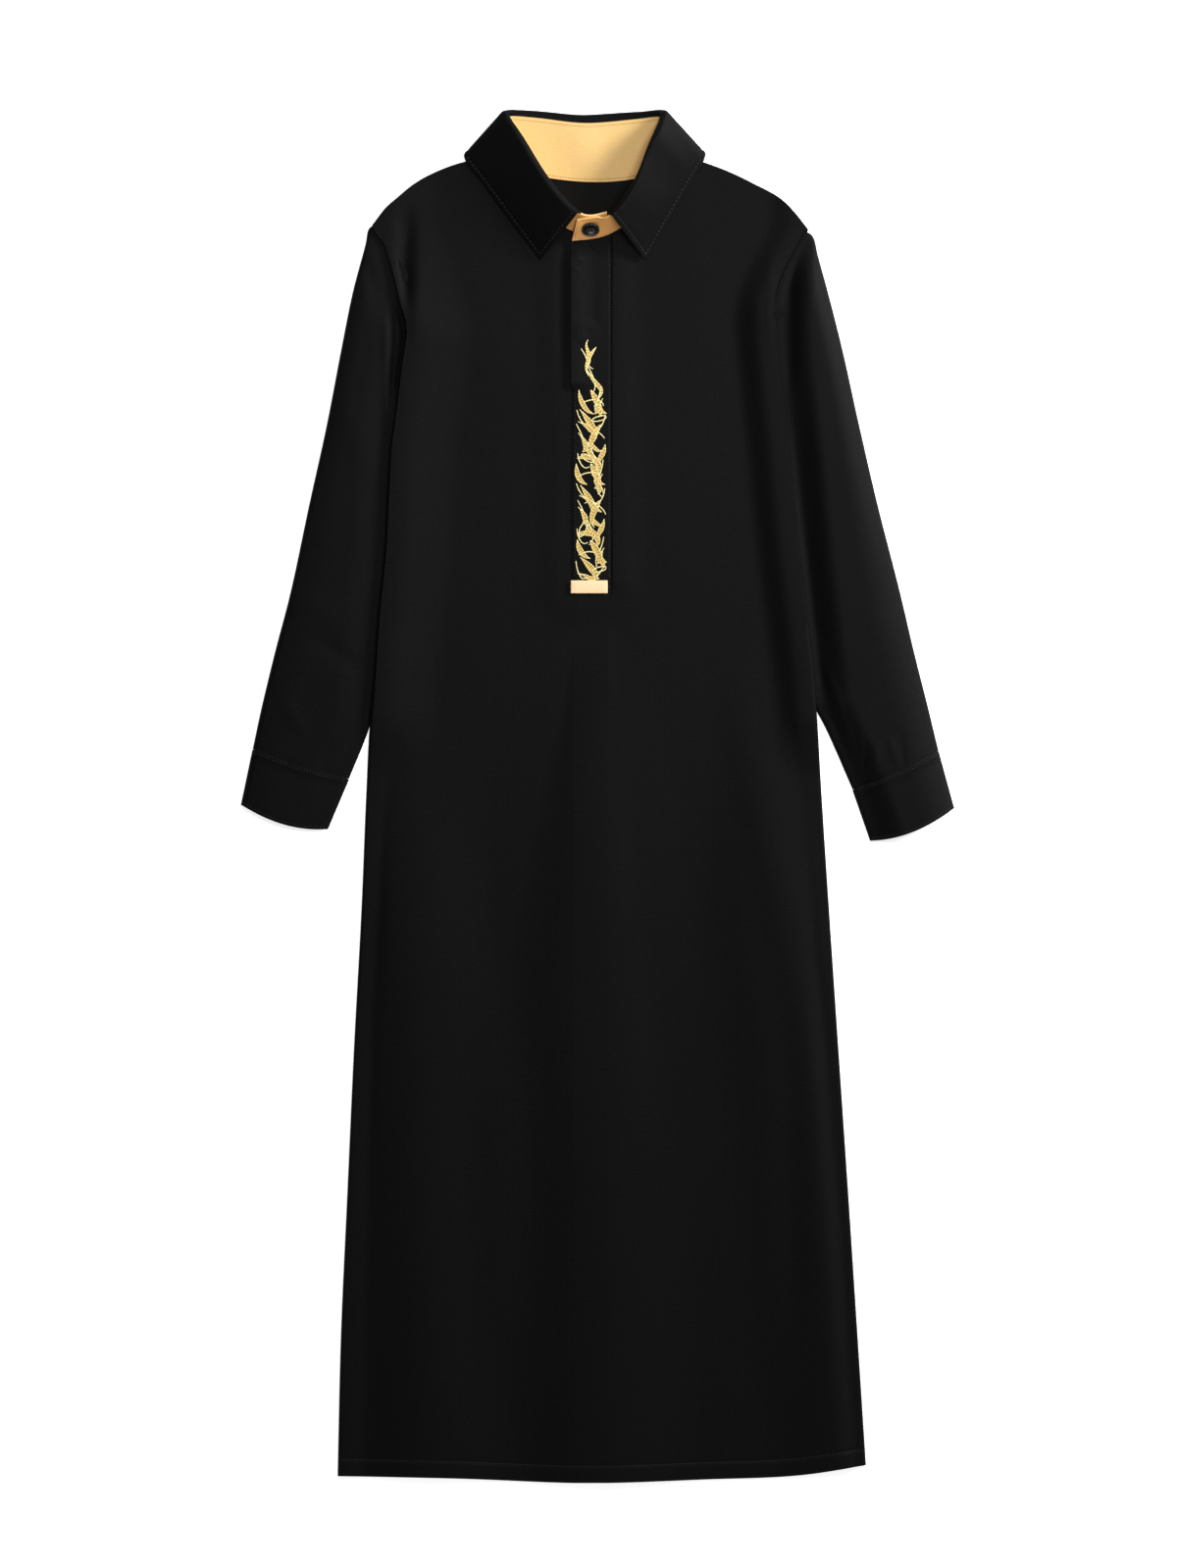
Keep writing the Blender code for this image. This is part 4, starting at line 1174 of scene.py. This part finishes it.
# ---------------------------------------------------------------- collar leaf
# The pointed leaf is two layers of suiting, sewn to the stand's top edge. It rolls over and
# falls to the shoulders, flat at its points, with a row of stitches inside its edges.
LEAF = 1.6
ROLL = 3.6
BACK_ROLL = 3.6
LEAF_STITCH = 4.4
LEAF_CREASES = (
    (-52, 604, -46, 574, 3.5, 0.8),
    (-60, 600, -54, 578, 3.0, -0.7),
    (-86, 650, -66, 612, 8, -0.8),
    (-100, 668, -84, 640, 7, 0.6),
    (-70, 625, -52, 596, 6, 0.5),
    (60, 640, 48, 596, 8, 0.6),
    (80, 664, 72, 630, 6, -0.5),
    (38, 600, 46, 576, 4, 0.4),
)


def leaf_column(low, high, edge, roll):
    """The leaf from the stand's top edge, over the roll and out to its edge."""
    rise = (high - low) / np.linalg.norm(high - low)
    fall = edge - high
    out = fall - rise * (fall @ rise)
    out /= np.linalg.norm(out)
    start = high + rise * (SEAM + 0.2)
    crest = high + rise * roll + out * 1.6
    over = high + rise * roll + out * 5.4
    down = high + rise * (roll * 0.3) + out * 7.4
    bend = curve_through(np.array([start, start + (crest - start) * 0.7, crest, over, down,
                                   down + (edge - down) * 0.12]), 4)
    flat = [down + (edge - down) * t for t in (0.2, 0.3, 0.4, 0.5, 0.6, 0.68, 0.75, 0.81, 0.85, 0.88,
                                               0.905, 0.925, 0.945, 0.965, 0.985, 1.0)]
    return np.concatenate([bend, flat])


leaf_edge = curve_through(COLLAR[LEAF_FIRST:LEAF_LAST + 1, 6:9], STAND_STEPS)
first, last = LEAF_FIRST * STAND_STEPS, LEAF_LAST * STAND_STEPS + 1
behind = np.sin(math.pi * smooth(4.5, 9.5, np.arange(first, last) / STAND_STEPS))
leaf_rows = np.array([
    leaf_column(low, high, edge, ROLL + BACK_ROLL * more)
    for low, high, edge, more in zip(stand_seam[first:last], stand_top[first:last], leaf_edge, behind)
]).transpose(1, 0, 2)
leaf_face = leaf_rows[::-1, ::-1]
from_edge = np.linalg.norm(np.diff(leaf_face, axis=0), axis=2)
from_edge = np.concatenate([np.zeros((1, from_edge.shape[1])), np.cumsum(from_edge, axis=0)])
from_front = np.linalg.norm(np.diff(leaf_face, axis=1), axis=2)
from_front = np.concatenate([np.zeros((from_front.shape[0], 1)), np.cumsum(from_front, axis=1)], axis=1)
from_front = np.minimum(from_front, from_front[:, -1:] - from_front)
from_rim = np.minimum(from_edge, from_front)
loose = smooth(0, 12, from_edge) * (leaf_face[:, :, 1] < 690)
stitched = 0.45 * np.exp(-(((from_rim - 1.8) / 1.3) ** 2))
stitched -= 0.6 * np.exp(-(((from_rim - LEAF_STITCH) / 1.1) ** 2))
creased = loose * press_creases(leaf_face[:, :, 0], leaf_face[:, :, 1], LEAF_CREASES)
leaf_face = leaf_face + grid_normals(leaf_face) * (stitched + creased)[:, :, None]
leaf = lay_cloth("collar_leaf_panel", leaf_face, LEAF, suiting)
leaf_lines = [line_inside(leaf_face, s, LEAF_STITCH, 0.08, 0.72) for s in ("left", "right")]
for start, end in ((0.012, 0.25), (0.75, 0.988)):
    leaf_lines.append(line_inside(leaf_face, "foot", LEAF_STITCH, start, end))
leaf_stitches = sew("leaf_stitches", leaf_lines, 2.8, 1.7, 0.95, LEAF / 2 + 0.2, black_thread)
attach(leaf, "root")
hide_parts("collar_leaf")
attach(leaf_stitches, "root")

# ---------------------------------------------------------------- buttons
# Two black sewn-through buttons: one fastens the collar tab, the other is hidden inside the
# placket and shows only as a round swelling.
NECK_BUTTON_X = -6.7
NECK_BUTTON_UP = 0.53
NECK_BUTTON_RADIUS = 9.2
NECK_BUTTON_THICK = 2.6
BUTTON_GAP = 1.2
HIDDEN_BUTTON_THICK = 2.2
HIDDEN_BUTTON_Z = 4.1

# Cast polyester resin, turned and tumbled: black, with a low soft shine.
button_resin, _ = new_finish(
    "black_polyester_resin",
    {"Base Color": linear("#0c0c0d"), "Roughness": 0.32, "IOR": 1.55, "Coat Weight": 0.2,
     "Coat Roughness": 0.2},
)


def make_button(name, radius, thick, centre, tilt, node):
    """A turned button: a rim, a dished middle and four holes."""
    bpy.ops.object.select_all(action="DESELECT")
    bpy.ops.mesh.primitive_cylinder_add(vertices=64, radius=radius * MM, depth=thick * MM)
    button = bpy.context.object
    button.name = name
    bpy.ops.object.mode_set(mode="EDIT")
    bpy.context.tool_settings.mesh_select_mode = (False, False, True)
    bpy.ops.mesh.select_all(action="DESELECT")
    body = bmesh.from_edit_mesh(button.data)
    for face in body.faces:
        face.select_set(face.normal.z > 0.9)
    bmesh.update_edit_mesh(button.data)
    bpy.ops.mesh.inset(thickness=0.2 * radius * MM)
    bpy.ops.mesh.inset(thickness=0.08 * radius * MM, depth=-0.18 * thick * MM)
    bpy.ops.object.mode_set(mode="OBJECT")
    bevel = button.modifiers.new("turned_rim", "BEVEL")
    bevel.width = 0.16 * thick * MM
    bevel.segments = 3
    bevel.angle_limit = math.radians(40)
    bpy.ops.object.modifier_apply(modifier=bevel.name)
    for k in range(4):
        a = math.radians(45 + 90 * k)
        bpy.ops.mesh.primitive_cylinder_add(
            vertices=20, radius=0.09 * radius * MM, depth=2 * thick * MM,
            location=(0.22 * radius * MM * math.cos(a), 0.22 * radius * MM * math.sin(a), 0),
        )
        drill = bpy.context.object
        cut = button.modifiers.new("hole", "BOOLEAN")
        cut.object = drill
        cut.operation = "DIFFERENCE"
        bpy.context.view_layer.objects.active = button
        bpy.ops.object.modifier_apply(modifier=cut.name)
        bpy.data.objects.remove(drill, do_unlink=True)
    bpy.ops.object.select_all(action="DESELECT")
    button.select_set(True)
    button.rotation_euler = (tilt, 0.0, 0.0)
    button.location = Vector(centre) * MM
    bpy.ops.object.transform_apply(location=True, rotation=True, scale=True)
    bpy.ops.object.shade_smooth_by_angle(angle=math.radians(35))
    button.data.materials.append(button_resin)
    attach(button, "root")
    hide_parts(node)


tab_start, tab_end = COLLAR[-2], COLLAR[-1]
share = (NECK_BUTTON_X - tab_start[0]) / (tab_end[0] - tab_start[0])
tab_seam = tab_start[0:3] + (tab_end[0:3] - tab_start[0:3]) * share
tab_top = tab_start[3:6] + (tab_end[3:6] - tab_start[3:6]) * share
slope = math.atan2(tab_top[2] - tab_seam[2], tab_top[1] - tab_seam[1])
on_tab = tab_seam + (tab_top - tab_seam) * NECK_BUTTON_UP
stand_off = STAND / 2 + BUTTON_GAP + NECK_BUTTON_THICK / 2
centre = on_tab + np.array((0, -math.sin(slope), math.cos(slope))) * stand_off
make_button("neck_button_turned", NECK_BUTTON_RADIUS, NECK_BUTTON_THICK, centre, slope, "neck_button")
make_button("placket_button_turned", HIDDEN_BUTTON_RADIUS, HIDDEN_BUTTON_THICK,
            (*HIDDEN_BUTTON, HIDDEN_BUTTON_Z), 0.0, "placket_button")
